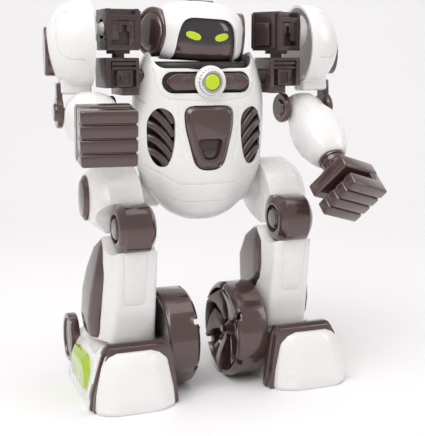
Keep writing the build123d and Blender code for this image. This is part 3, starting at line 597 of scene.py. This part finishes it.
def torso_shell():
    """Both halves of the torso, with the openings, the hip bosses and the parting lines."""
    bosses = [rod("X", (sign * 26, sign * 38.4), HIP, [(0, 11.5), (0.8, 10.5), (1, 9.6)], 40)
              for sign in SIDES.values()]
    cuts = [shaped(NECKLINE, (-60, 60)),
            prism(slot_outline(LAMP - 0.3, 30.2, 6.8), (-60, -22)),
            shaped(grown(SHIELD, 0.7), (-60, -27.2)),
            shaped(VENT, (-60, -15)), shaped(flipped(VENT), (-60, -15))]
    for sign in SIDES.values():
        cuts.append(rod("X", (sign * 32, sign * 60), HIP, 6.4, 32))
        cuts.append(rod("X", (sign * 32, sign * 60), STUD, STUD_HOLE, 32))
    cuts.append(box((-DOOR_HALF, DOOR_HALF), (10, 60), (DOOR_LOW, DOOR_HIGH)))
    cuts += [rod("Y", (12, 60), (sign * x, z), SCREW_WELL, 24)
             for sign in SIDES.values() for x, z in SCREWS]
    torso = combine(combine(torso_wall(), bosses, "UNION"), cuts, "DIFFERENCE")

    paths = [CHEST_LINE, BELLY_HIGH, BELLY_LOW]
    for sign in SIDES.values():
        paths.append([(sign * 20.2, 184.5), (sign * 20.8, 170), (sign * 16.5, 150)])
        paths.append([(sign * 44, 190), (sign * 40, 186.5)])
    torso = grooved(torso, [on_surface(torso, path, "Y", -70, 1) for path in paths], 0.36)
    finish_piece(torso, "torso_form", "torso", "white_shell",
                 nodes=["torso_front_shell", "torso_back_shell"], edge=0.7)


def battery_door():
    """The ribbed door, which follows the torso's back."""
    door = combine(torso_wall(), [box((-DOOR_HALF + DOOR_GAP, DOOR_HALF - DOOR_GAP), (10, 60),
                                      (DOOR_LOW + DOOR_GAP, DOOR_HIGH - DOOR_GAP))], "INTERSECT")
    door = combine(door, [box((-14, 14), (28.0, 60), (160 + 6 * rib, 162 + 6 * rib))
                          for rib in range(DOOR_RIBS)], "DIFFERENCE")
    finish_piece(door, "door_form", "torso", "white_shell", nodes=["battery_door"], edge=0.35)


torso_shell()
battery_door()


# -------- chest
SLATS, SLAT_PITCH, SLAT_RISE, SLAT_R = 5, 8.4, 16.5, 2.5
NECK_Y = -8
NECK = [(205.8, 31, 17.5, 20), (208.6, 34, 20, 22), (211.6, 33.6, 19.6, 21.5), (212.7, 31, 18, 20)]
BEZEL = [(0, 8.3), (0.45, 8.3), (0.5, 10.4), (0.66, 10.4), (0.7, 9.4), (0.76, 8.7), (0.96, 8.3), (1, 7.8)]
RIDGES, RIDGE_R, RIDGE_HALF = 24, 8.2, 0.45


def lamp_hole():
    """The hole for the lamp button."""
    return rod("Y", (-20, -40), (0, LAMP), 5.5, 48)


def chest_shield():
    """The brown shield and its mouth recess with the lip in it."""
    piece("chest_shield", "torso", "brown_trim",
          [shaped(SHIELD, (-29.2, -31.6), taper=0.86), shaped(SHIELD, (-29.2, -26.4))],
          [shaped(MOUTH, (-40, -28.3))], nodes=["chest_plate"], edge=0.8)
    piece("mouth_lip", "torso", "module_brown",
          [shaped(grown(MOUTH, -0.3), (-28.4, -28.9)), shaped(LIP, (-30.6, -28.4))], edge=0.3)


def chest_bars():
    """The two brown bars beside the lamp and the dark slot behind them."""
    bars = []
    for sign in SIDES.values():
        outline = [(sign * 8, 205.6, 1), (sign * 24, 205.4, 4), (sign * 29.2, 200.6, 3),
                   (sign * 24.5, 194.4, 3.5), (sign * 8, 194.4, 1)]
        bars.append(shaped(outline[::sign], (-24.5, -29.6), taper=0.9))
    piece("chest_bars", "torso", "brown_trim", bars, nodes=["chest_bar"], edge=0.7)
    piece("chest_bar_back", "torso", "dark_frame",
          [prism(slot_outline(LAMP, 29.6, 6.2), (-24.7, -22.6))], [lamp_hole()])


def vent(side, sign):
    """The recess at one side of the chest, with a near-black sheet behind its opening as painted shade, and
    the bowed slats in it.
    """
    opening = VENT if sign > 0 else flipped(VENT)
    # A near-black sheet just behind the opening: painted shade inside the recess.
    piece(side + "_vent_shade_sheet", "torso", "shadow", [shaped(grown(opening, 0.4), (-16.5, -13.5))],
          nodes=[side + "_vent"])
    for index in range(SLATS):
        path = [(sign * (23.0 + 17.0 * t), -23.6 + 5.6 * t - 2.2 * math.sin(math.pi * t),
                 141.0 + SLAT_PITCH * index + SLAT_RISE * (1 - (1 - t) ** 1.7))
                for t in (step / 8 for step in range(9))]
        slat = combine(as_object(tube(path, SLAT_R, 14)), [shaped(grown(opening, -0.2), (-40, -10))],
                       "INTERSECT")
        finish_piece(slat, f"{side}_vent_slat_{index}", "torso", "vent_dark")


def lamp_bezel():
    """The ridged white ring around the lamp, with a steel ring inside it."""
    ridges = []
    for k in range(RIDGES):
        x = RIDGE_R * math.cos(2 * math.pi * k / RIDGES)
        z = LAMP + RIDGE_R * math.sin(2 * math.pi * k / RIDGES)
        ridges.append(box((x - RIDGE_HALF, x + RIDGE_HALF), (-34.4, -32),
                          (z - RIDGE_HALF, z + RIDGE_HALF)))
    piece("lamp_bezel_form", "torso", "white_shell", [rod("Y", (-25.6, -34.6), (0, LAMP), BEZEL, 64)],
          [lamp_hole()] + ridges, nodes=["lamp_bezel"])
    piece("lamp_ring", "torso", "steel_pin",
          [rod("Y", (-33.2, -34.9), (0, LAMP), [(0, 7.6), (0.6, 7.6), (1, 6.9)], 64)], [lamp_hole()])


chest_shield()
chest_bars()
for side, sign in SIDES.items():
    vent(side, sign)
piece("collar_form", "torso", "dark_frame", [half_rings(NECK, NECK_Y)], nodes=["collar"], edge=0.4)
lamp_bezel()

# -------- head
HEAD_Y, HEAD_BASE, HEAD_SQUARE, HELMET_WALL, VISOR_INSET = -4, 217.5, 2.35, 2.6, 3.0
turn_joint = JOINT["head_turn"]
up = Vector(turn_joint["axis"])
HEAD = (placed(turn_joint["pos_m"], Vector((0, 1, 0)).cross(up), (0, 1, 0))
        @ Matrix.Translation((0, -HEAD_Y, -HEAD_BASE)))
HEAD_LEVELS = [(213.2, 23.5, 19, 20), (216.5, 28.3, 22.3, 24.5), (222, 30.6, 24, 27), (232, 31.6, 24.6, 28),
               (239, 30.4, 23, 27), (244.5, 26.6, 20, 24), (248.6, 20, 15, 18.5), (250.8, 12, 9.5, 11.5),
               (251.5, 5, 4, 5)]
WINDOW = [(-15, 239.6, 6), (15, 239.6, 6), (19.5, 232, 8), (21.5, 209, 0.5), (-21.5, 209, 0.5),
          (-19.5, 232, 8)]
LOWER_FACE = [(-19.5, 224.5, 3), (-6, 222.8, 2), (6, 222.8, 2), (19.5, 224.5, 3), (21, 214, 1),
              (-21, 214, 1)]
EYE_X, EYE_Z, EYE_SLANT = 9.6, 228.4, 16
EAR_PLACE, EAR_TURN = (29.3, -4.0, 230.0), 18.0
EAR_RIM = [(0, 15), (0.35, 15.9), (0.8, 15.9), (0.93, 15.4), (1, 14.6)]
EAR_DISC = [(0, 12.4), (0.68, 12.4), (0.76, 12.0), (0.9, 10), (0.97, 7.5), (1, 4)]


def head_form(inset):
    """The head's outer form, drawn in by the inset."""
    return half_rings(HEAD_LEVELS, HEAD_Y, inset, HEAD_SQUARE)


def neck_hole():
    """The hole in the head's underside."""
    return rod("Z", (205, 230), (0, HEAD_Y), 8, 32)


def helmet():
    """The white helmet, open in front."""
    shell = combine(as_object(head_form(0.0)),
                    [head_form(HELMET_WALL), shaped(WINDOW, (-60, -9)), neck_hole()], "DIFFERENCE")
    finish_piece(shell, "helmet", "head", "white_shell", place=HEAD, nodes=["head_shell"], edge=1.0)


def visor():
    """The glossy near-black face behind the window, whose uncovered upper part is painted shade under the
    helmet's brim, and the brown plate over its lower part.
    """
    face = combine(as_object(head_form(VISOR_INSET)), [neck_hole(), box((-40, 40), (2, 40), (200, 260))],
                   "DIFFERENCE")
    # The visor's near-black colour paints the shade under the brim; the brown plate below covers its lower
    # part.
    finish_piece(face, "visor_form", "head", "visor_gloss", place=HEAD, nodes=["visor"], angle=40)
    plate = combine(as_object(head_form(2.75)), [shaped(LOWER_FACE, (-60, -12))], "INTERSECT")
    finish_piece(plate, "face_plate", "head", "brown_trim", place=HEAD, angle=40)


def eye(side, sign):
    """A slanting lens that stands a little proud of the visor."""
    outline = oval(sign * EYE_X, EYE_Z, 4.9, 2.3, 32, 2.3, math.radians(sign * EYE_SLANT))
    lens = combine(as_object(prism(outline, (-40, -16))), [head_form(2.3)], "INTERSECT")
    lens = combine(lens, [head_form(3.6)], "DIFFERENCE")
    finish_piece(lens, side + "_eye", "head", "lime_lens", place=HEAD,
                 nodes=["eye_lenses"] if side == "right" else [])


def ear(side):
    """A disc with a raised rim and a domed middle, turned a little to the front."""
    disc = combine(as_object(rod("X", (-3.4, 3.6), (0, 0), EAR_RIM, 64)),
                   [rod("X", (2.9, 9), (0, 0), 13.2, 56)], "DIFFERENCE")
    disc = combine(disc, [rod("X", (-1, 4.8), (0, 0), EAR_DISC, 56)], "UNION")
    disc.data.transform(Matrix.Translation(EAR_PLACE) @ Matrix.Rotation(math.radians(-EAR_TURN), 4, "Z"))
    finish_piece(disc, side + "_ear_disc", "head", "brown_trim", place=HEAD, side=side,
                 nodes=[side + "_ear"], edge=0.3)


helmet()
visor()
for side, sign in SIDES.items():
    eye(side, sign)
    ear(side)
piece("crown_insert", "head", "brown_trim", [box((-9, 9), (-11, 8), (247.5, 251.9), 1.2)], place=HEAD)

# -------- arms
DOME_LINES = [[(31.5, 4.5), (31.8, -8), (30.0, -15.5), (24, -19), (15.5, -19.2)],
              [(31.5, 4.5), (27.5, 9.0), (20, 10.8)]]
ELBOW_PIN = [(0, 5.0), (0.02, 5.8), (0.06, 6.2), (0.061, 3.0), (0.939, 3.0), (0.94, 6.2), (0.98, 5.8),
             (1, 5.0)]
ELBOW_NEAR, ELBOW_FAR = 14.5, 18.5
# Forearm levels from above the elbow to the wrist: (y, half width, half height).
FOREARM = [(8.5, 7, 4.5), (6, 11, 7.6), (0, 12.8, 10), (-8, 13.4, 12), (-16, 15.4, 15.4),
           (-26, 16.4, 16.4), (-35, 15.6, 15), (-43, 13.2, 12), (-47.5, 11, 10.2), (-48.8, 9.6, 8.9)]


def shoulder_dome(side):
    """The CAD's own shoulder shell, with its parting lines cut in."""
    dome = cad_copy(side + "_shoulder_shell", ARM[side], side)
    dome = grooved(dome, [on_surface(dome, path, "Y", -60, 1) for path in DOME_LINES], 0.32)
    finish_piece(dome, side + "_shoulder_dome", side + "_upper_arm", "white_shell", place=ARM[side],
                 side=side, nodes=[side + "_shoulder_shell"])


def elbow(side):
    """Two discs on one pin, hung from the shoulder by a strap, and the bridge between them."""
    parts = [rod("X", x, (0, -ELBOW_DROP), [(0, 9.2), (0.2, 10), (0.8, 10), (1, 9.2)], 48)
             for x in ((ELBOW_OUT - ELBOW_FAR, ELBOW_OUT - ELBOW_NEAR),
                       (ELBOW_OUT + ELBOW_NEAR, ELBOW_OUT + ELBOW_FAR))]
    parts.append(rod("X", (ELBOW_OUT - 20, ELBOW_OUT + 20), (0, -ELBOW_DROP), ELBOW_PIN, 40))
    parts.append(box((ELBOW_OUT + 14.6, ELBOW_OUT + 18.2), (-5.5, 5.5), (-ELBOW_DROP, -33), 1.2))
    piece(side + "_elbow_discs", side + "_upper_arm", "brown_trim", parts, place=ARM[side], side=side,
          nodes=[side + "_elbow_yoke"])
    piece(side + "_elbow_bridge", side + "_upper_arm", "white_shell",
          [box((9.5, ELBOW_OUT + 16), (-6.5, 6.5), (-40.2, -30), 2.0)], place=ARM[side], side=side)


def wrist_hole():
    """The hole for the hand's pin."""
    return rod("Y", (-60, -40), (0, 0), WRIST_HOLE, 24)


def forearm(side):
    """The swelling forearm, cut away beside the elbow, and the brown collar at its wrist."""
    arm = as_object(rings([[(x, y, z) for x, z in oval(0, 0, half_x, half_z, 48, 2.5)]
                           for y, half_x, half_z in FOREARM]))
    arm = combine(arm, [rod("X", (-30, 30), (0, 0), PIN_HOLE, 24), wrist_hole()]
                  + [box(x, (-11.5, 12), (-12, 12)) for x in ((-20, -13.6), (13.6, 20))], "DIFFERENCE")
    arm = grooved(arm, [on_surface(arm, [(sign * 8, -8), (sign * 11, -25), (sign * 8, -45)], "Z", 40, -1)
                        for sign in SIDES.values()], 0.3)
    piece(side + "_wrist_collar", side + "_forearm", "brown_trim",
          [rod("Y", (-48.5, -54.2), (0, 0), [(0, 9), (0.4, 9), (0.45, 8), (1, 8)], 40)],
          [wrist_hole()], place=ELBOW[side], side=side, edge=0.4)
    finish_piece(arm, side + "_forearm_form", side + "_forearm", "white_shell", place=ELBOW[side],
                 side=side, nodes=[side + "_forearm"], edge=0.5)


for side in SIDES:
    shoulder_dome(side)
    elbow(side)
    forearm(side)

# -------- legs
# All are drawn for the left leg, as (x, y, z) places or (y, z) outlines; the right is its mirror.
THIGH = [(15, 146, 9), (-4, 147.5, 7), (-20, 139, 7), (-29, 124, 5), (-27, 108, 5), (-14, 103, 6),
         (8, 109, 8), (21, 119, 8), (24, 134, 8)]
THIGH_CAP = oval(3, 125, 9.6, 15, 48, 2.2)
# Knee barrel: (share of the width, radius, squareness).
BARREL_X, BARREL_WIDE = 42.2, 24
BARREL = [(0, 11.2, 2.0), (0.05, 13.2, 2.1), (0.13, 14.7, 2.3), (0.17, 15.5, 2.6), (0.83, 15.5, 2.6),
          (0.87, 14.7, 2.3), (0.95, 13.2, 2.1), (1, 11.2, 2.0)]
# Shin from the knee down: (z, front y, cheek y, back y, half width of the face, inner x, outer x).
SHIN_X = 53.8
SHIN = [(103, -45.2, -28, -20, 13.4, 37.0, 71.5), (97, -44.4, -28, -20, 13.2, 37.6, 71.0),
        (76, -41.8, -26, -15, 13.2, 37.8, 71.8), (58, -38.6, -22, -11, 13.4, 37.0, 73.6),
        (46, -36, -18, -8, 13.8, 36.2, 75.6), (36.4, -34, -15, -6, 14.4, 35.7, 77.0)]
SHIN_PANEL = [(47.4, 95.4, 1), (62.6, 95.4, 1), (62.0, 61, 4), (48.0, 61, 4)]
# Brown sides of the shin: (z, front y, back y, inner x, outer x).
SHIN_SIDES = [(101, -27, -8, 38.5, 69.6), (94, -28, 1, 36.2, 72.4), (80, -28, 8, 35, 75.4),
              (66, -26, 11, 36.6, 77.8), (50, -24, 10, 37.4, 79.4), (41, -23, 6, 38, 79.0),
              (37, -22, 3, 39, 77.6)]


def thigh(side):
    """The white thigh, cut round for the knee barrel, with the tongue that enters it."""
    form = combine(as_object(prism(rounded_outline(THIGH, 6), (44.2, 66), "X")),
                   [prism(rounded_outline(THIGH, 6), (66, 74.0), "X", taper=0.72),
                    rod("X", (39.2, 45), HIP, [(0, 8.4), (1, 13)], 40)], "UNION")
    form = combine(form, [rod("X", (30, 80), KNEE, 16.4, 64)], "DIFFERENCE")
    form = combine(form, [box((50.3, 58.1), (KNEE[0], -14), (KNEE[1] - 5, KNEE[1] + 7)),
                          rod("X", (50.3, 58.1), KNEE, 8, 32)], "UNION")
    form = combine(form, [rod("X", (30, 60), HIP, PIN_HOLE, 24), rod("X", (40, 62), KNEE, PIN_HOLE, 24)],
                   "DIFFERENCE")
    finish_piece(form, side + "_thigh_form", side + "_thigh", "white_shell", side=side,
                 nodes=[side + "_thigh"], edge=1.4, angle=28)


def thigh_cap(side):
    """The domed brown oval on the outside of the thigh."""
    piece(side + "_thigh_cap_form", side + "_thigh", "brown_trim",
          [prism(THIGH_CAP, (72.4, 75.2), "X"), prism(THIGH_CAP, (75.2, 77.2), "X", taper=0.78)],
          side=side, nodes=[side + "_thigh_cap"], edge=0.5)


def knee(side):
    """The barrel across the knee, with a sunk boss at each end and a slot for the thigh's tongue."""
    barrel = rings([[(BARREL_X + BARREL_WIDE * share, y, z) for y, z in oval(*KNEE, r, r, 64, power)]
                    for share, r, power in BARREL])
    form = combine(as_object(barrel), [rod("X", x, KNEE, 9.2, 48) for x in ((41, 45.4), (63, 68))],
                   "DIFFERENCE")
    form = combine(form, [rod("X", (41.6, 46), KNEE, [(0, 5.6), (0.25, 6.8), (1, 6.8)], 40),
                          rod("X", (62.4, 66.8), KNEE, [(0, 6.8), (0.75, 6.8), (1, 5.6)], 40)], "UNION")
    form = combine(form, [rod("X", (49.8, 58.6), KNEE, 8.8, 40),
                          box((49.8, 58.6), (-36, -15), (102, 120))], "DIFFERENCE")
    finish_piece(form, side + "_knee_form", side + "_shin", "brown_trim", side=side,
                 nodes=[side + "_knee_barrel"], edge=0.35)


def shin(side):
    """The white front of the shin, with a drawn panel."""
    sections = []
    for z, front, cheek, back, half, inner, outer in SHIN:
        corners = [(SHIN_X - half, front, 3), (SHIN_X + half, front, 3), (outer, cheek, 3),
                   (outer - 1, back, 1), (inner + 1, back, 1), (inner, cheek, 3)]
        sections.append([(x, y, z) for x, y in rounded_outline(corners, 2, 4)])
    form = combine(as_object(rings(sections)), [rod("X", (30, 80), KNEE, 16.1, 64)], "DIFFERENCE")
    panel = rounded_outline(SHIN_PANEL, 3)
    panel.append(panel[0])
    form = grooved(form, [on_surface(form, panel, "Y", -70, 1, step=1.5)], 0.36)
    finish_piece(form, side + "_shin_form", side + "_shin", "white_shell", side=side,
                 nodes=[side + "_shin_shell"], edge=0.8, angle=28)


def shin_sides(side):
    """The brown sides and calf behind the white front."""
    sections = []
    for z, front, back, inner, outer in SHIN_SIDES:
        corners = [(inner + 1.5, front, 1), (outer - 4, front, 2), (outer, front + 7, 3),
                   (outer, back - 7, 3), (outer - 5, back, 3), (inner + 4, back, 3),
                   (inner, back - 5, 3), (inner, front + 7, 2)]
        sections.append([(x, y, z) for x, y in rounded_outline(corners, 2, 4)])
    form = combine(as_object(rings(sections)), [rod("X", (30, 90), KNEE, 17.0, 64),
                                                box((51.6, 62.4), (-6, 16), (20, 62))], "DIFFERENCE")
    finish_piece(form, side + "_shin_sides", side + "_shin", "brown_trim", side=side,
                 nodes=[side + "_shin_core"], edge=1.0, angle=26)


# -------- feet
DRUM, DRUM_R = (-17.2, 32.8), 32.3
# Toe cap from the sole up: (z, half width, front y).
TOE_X, TOE_BACK = 60.5, -56.2
TOE = [(0.2, 25.2, -66.2), (2.5, 25.8, -67), (12, 25, -66.2), (29, 21.6, -63.2), (34.8, 19.2, -61),
       (36.8, 16.6, -59.2)]
# Foot from toe to heel: (y, half width at the sole, half width at the top, top z).
SOLE_X, TOP_X = 61.2, 59.7
FOOT = [(-49.9, 28.0, 22.5, 38.4), (-43, 27.4, 22.8, 37.8), (-34, 25, 23, 36.4), (-12, 25, 23, 34),
        (10, 24, 21.5, 33), (24, 22.5, 19, 33), (33, 19.5, 15.5, 29), (38, 16, 12, 22)]
# Band steps: (half width at the sole, half width at the top, top z, span in y).
BAND_X = 57.4
BAND = [(28.4, 22.2, 41.4, (-51.6, -47.2)), (27.2, 21.4, 39.6, (-56.4, -51))]
HEEL = (22, 27)
LIGHT = rounded_outline([(-40, 9, 4), (-33, 4.8, 4), (0, 8.5, 4), (7.5, 18, 5), (1, 28.6, 4),
                         (-31, 29.4, 4), (-41, 21, 5)], 3)


def toe(side):
    """The white cap in front of the band."""
    sections = []
    for z, half, front in TOE:
        corners = [(TOE_X - half, TOE_BACK, 0.5), (TOE_X + half, TOE_BACK, 0.5),
                   (TOE_X + half - 0.8, front + 6, 3), (TOE_X + half - 9, front, 4),
                   (TOE_X - half + 11, front, 4), (TOE_X - half + 0.8, front + 6, 3)]
        sections.append([(x, y, z) for x, y in rounded_outline(corners, 3, 4)])
    piece(side + "_toe_form", side + "_foot", "white_shell", [rings(sections)], side=side,
          nodes=[side + "_toe_cap"], edge=1.6, angle=24)


def heel_oval(side):
    """The brown oval on the outside of the heel."""
    piece(side + "_heel_oval", side + "_foot", "brown_trim",
          [prism(oval(*HEEL, 12.5, 16.5, 48, 2.2), (78, 84.2), "X")],
          [prism(oval(*HEEL, 9.6, 13.2, 48, 2.2), (82.9, 90), "X")], side=side, edge=0.6)


def band(side):
    """The brown band over the foot, in two steps."""
    steps = []
    for low, high, top, span in BAND:
        corners = [(59 - low, 0.2), (60 + low, 0.2), (60 + low - 1, 11), (BAND_X + high, top - 4.5),
                   (BAND_X + high - 3.6, top), (BAND_X - high + 3.6, top), (BAND_X - high, top - 4.5),
                   (59 - low + 1, 11)]
        steps.append(prism(rounded_outline(corners, 1.8, 4), span))
    piece(side + "_band_form", side + "_foot", "brown_trim", steps, side=side,
          nodes=[side + "_foot_trim"], edge=0.6)


def foot_shell(side):
    """The white foot, open for the shin, the ankle and the drum."""
    sections = []
    for y, low, high, top in FOOT:
        corners = [(SOLE_X - low, 0.05, 0.5), (SOLE_X + low, 0.05, 0.5), (TOP_X + high, top - 5.5, 3),
                   (TOP_X + high - 5, top, 3), (TOP_X - high + 5, top, 3), (TOP_X - high, top - 5.5, 3)]
        sections.append([(x, y, z) for x, z in rounded_outline(corners, 2, 4)])
    form = combine(as_object(rings(sections)), [box((51, 63), (-3, 15), (19, 60)),
                                                box((20, 36.6), (-17, 20), (-1, 60)),
                                                rod("X", (20, 36.6), DRUM, DRUM_R + 1.0, 64),
                                                box((20, 90), (-37.6, 14), (32.6, 60))], "DIFFERENCE")
    finish_piece(form, side + "_foot_form", side + "_foot", "white_shell", side=side,
                 nodes=[side + "_foot_shell"], edge=0.7, angle=28)


def foot_light(side):
    """The domed light panel on the outside of the foot."""
    piece(side + "_light_form", side + "_foot", "light_lens",
          [prism(LIGHT, (80, 84.5), "X"), prism(LIGHT, (84.5, 87.6), "X", taper=0.72)],
          side=side, nodes=[side + "_foot_light"], edge=0.6, angle=26)


for side in SIDES:
    for part in (thigh, thigh_cap, knee, shin, shin_sides, toe, heel_oval, band, foot_shell, foot_light):
        part(side)

# -------- drums
BLADES, BLADE_FRONT, BLADE_BACK, BLADE_REACH = 6, 14.0, 23, 28.4
# Blade edges from the hub to the rim: (radius, angle of each edge in radians).
BLADE_EDGES = ((7, -0.36, 0.40), (13, -0.25, 0.44), (20, -0.27, 0.38), (BLADE_REACH, -0.42, 0.36))
RIM = [(0, 29.6), (0.05, 31.2), (0.12, 32.2), (0.9, DRUM_R), (1, 31.4)]
NOTCH = ((27, -1.6), (35, -2.8), (35, 2.8), (27, 1.6))


def drum_rim(side):
    """The drum's tyre, with a notch in its inner edge between every two blades."""
    form = combine(as_object(rod("X", (13.3, 34.5), DRUM, RIM, 96)),
                   [rod("X", (10, 21.0), DRUM, [(0, 28.6), (0.9, 27.6), (1, 27.6)], 80),
                    rod("X", (25, 36), DRUM, 28.2, 80)], "DIFFERENCE")
    notches = []
    for k in range(BLADES):
        t = 2 * math.pi * (k + 0.5) / BLADES
        c, s = math.cos(t), math.sin(t)
        outline = [(DRUM[0] + c * r - s * w, DRUM[1] + s * r + c * w) for r, w in NOTCH]
        notches.append(prism(outline, (10, 17.2), "X"))
    form = combine(form, notches, "DIFFERENCE")
    finish_piece(form, side + "_drum_rim", side + "_drum", "brown_trim", side=side,
                 nodes=[side + "_drum"], edge=0.5)


def drum_blade(side, index):
    """One twisted blade of the drum's face."""
    start = 2 * math.pi * index / BLADES
    outline = []
    for r, low, high in BLADE_EDGES:
        outline.insert(0, (DRUM[0] + r * math.cos(start + low), DRUM[1] + r * math.sin(start + low)))
        outline.append((DRUM[0] + r * math.cos(start + high), DRUM[1] + r * math.sin(start + high)))
    blade = as_object(prism(outline, (BLADE_BACK, BLADE_FRONT), "X"))
    for vertex in blade.data.vertices:
        y, z = vertex.co.y - DRUM[0], vertex.co.z - DRUM[1]
        reach = math.hypot(y, z) / BLADE_REACH
        lean = math.sin(math.atan2(z, y) - start)
        if vertex.co.x < 20:
            vertex.co.x = 19.2 - 4.6 * reach ** 1.4 + 7.0 * lean * reach
    finish_piece(blade, f"{side}_drum_blade_{index}", side + "_drum", "brown_trim", side=side,
                 edge=0.35, angle=24)


def drum_hub(side):
    """The pointed hub in the middle of the blades."""
    piece(side + "_drum_hub", side + "_drum", "brown_trim",
          [rod("X", (13.6, 24), DRUM, [(0, 2.0), (0.06, 2.8), (0.25, 2.2), (0.5, 5.0), (1, 9.0)], 32)],
          side=side)


for side in SIDES:
    drum_rim(side)
    for index in range(BLADES):
        drum_blade(side, index)
    drum_hub(side)

# -------- studio
floor_mesh = bpy.data.meshes.new("floor")
EXTENT, RISE, BACK, BEND, BEND_STEPS = 3.0, 2.4, 1.15, 0.6, 12
profile = [(-EXTENT, 0.0), (BACK - BEND, 0.0)]
profile += [(BACK - BEND + BEND * math.sin(a), BEND - BEND * math.cos(a))
            for a in (math.pi / 2 * step / BEND_STEPS for step in range(1, BEND_STEPS + 1))]
profile.append((BACK, RISE))
corners = [(x, y, z) for y, z in profile for x in (-EXTENT, EXTENT)]
faces = [(2 * i, 2 * i + 1, 2 * i + 3, 2 * i + 2) for i in range(len(profile) - 1)]
floor_mesh.from_pydata(corners, [], faces)
floor = bpy.data.objects.new("floor", floor_mesh)
bpy.context.scene.collection.objects.link(floor)
YAW, PITCH = math.radians(22.0), math.radians(9.69)
floor.rotation_euler = (0, 0, -YAW)
floor_mesh.polygons.foreach_set("use_smooth", [True] * len(floor_mesh.polygons))
floor_finish, floor_tree, floor_shader = nodes_of("floor")
floor_tree.links.new(mixed(floor_tree, spread(floor_tree, noise(floor_tree, 6, 2), 0.0, 0.35),
                           (0.90, 0.89, 0.895), (0.87, 0.86, 0.865)), floor_shader.inputs["Base Color"])
floor_tree.links.new(spread(floor_tree, noise(floor_tree, 30, 3), 0.55, 0.7),
                     floor_shader.inputs["Roughness"])
floor_mesh.materials.append(floor_finish)

world = bpy.data.worlds.new("studio")
bpy.context.scene.world = world
world.use_nodes = True
world.node_tree.nodes["Background"].inputs["Color"].default_value = (1.0, 0.985, 0.98, 1.0)
world.node_tree.nodes["Background"].inputs["Strength"].default_value = 0.57

CENTRE = at(0, -15, 125)


def softbox(name, azimuth, elevation, distance, size, power):
    """A square area light that faces the robot. Azimuth 0 is straight in front, 90 at its left."""
    lamp = bpy.data.lights.new(name, "AREA")
    lamp.size, lamp.energy = size, power
    holder = bpy.data.objects.new(name, lamp)
    bpy.context.scene.collection.objects.link(holder)
    a, e = math.radians(azimuth), math.radians(elevation)
    holder.location = CENTRE + distance * Vector((math.sin(a) * math.cos(e),
                                                  -math.cos(a) * math.cos(e), math.sin(e)))
    holder.rotation_euler = (CENTRE - holder.location).to_track_quat("-Z", "Y").to_euler()


softbox("key", -50, 50, 1.3, 0.9, 9.5)
softbox("top", 10, 85, 1.4, 1.2, 5.5)
softbox("fill", 62, 25, 1.4, 0.6, 2.5)

camera_data = bpy.data.cameras.new("camera")
camera = bpy.data.objects.new("camera", camera_data)
bpy.context.scene.collection.objects.link(camera)
bpy.context.scene.camera = camera
camera_data.lens = 79.0
camera_data.sensor_width = 36.0
camera.location = at(-228.5, -600, 217.1)
camera.rotation_euler = (math.pi / 2 - PITCH, 0, -YAW)
bpy.context.scene.view_settings.view_transform = "Standard"
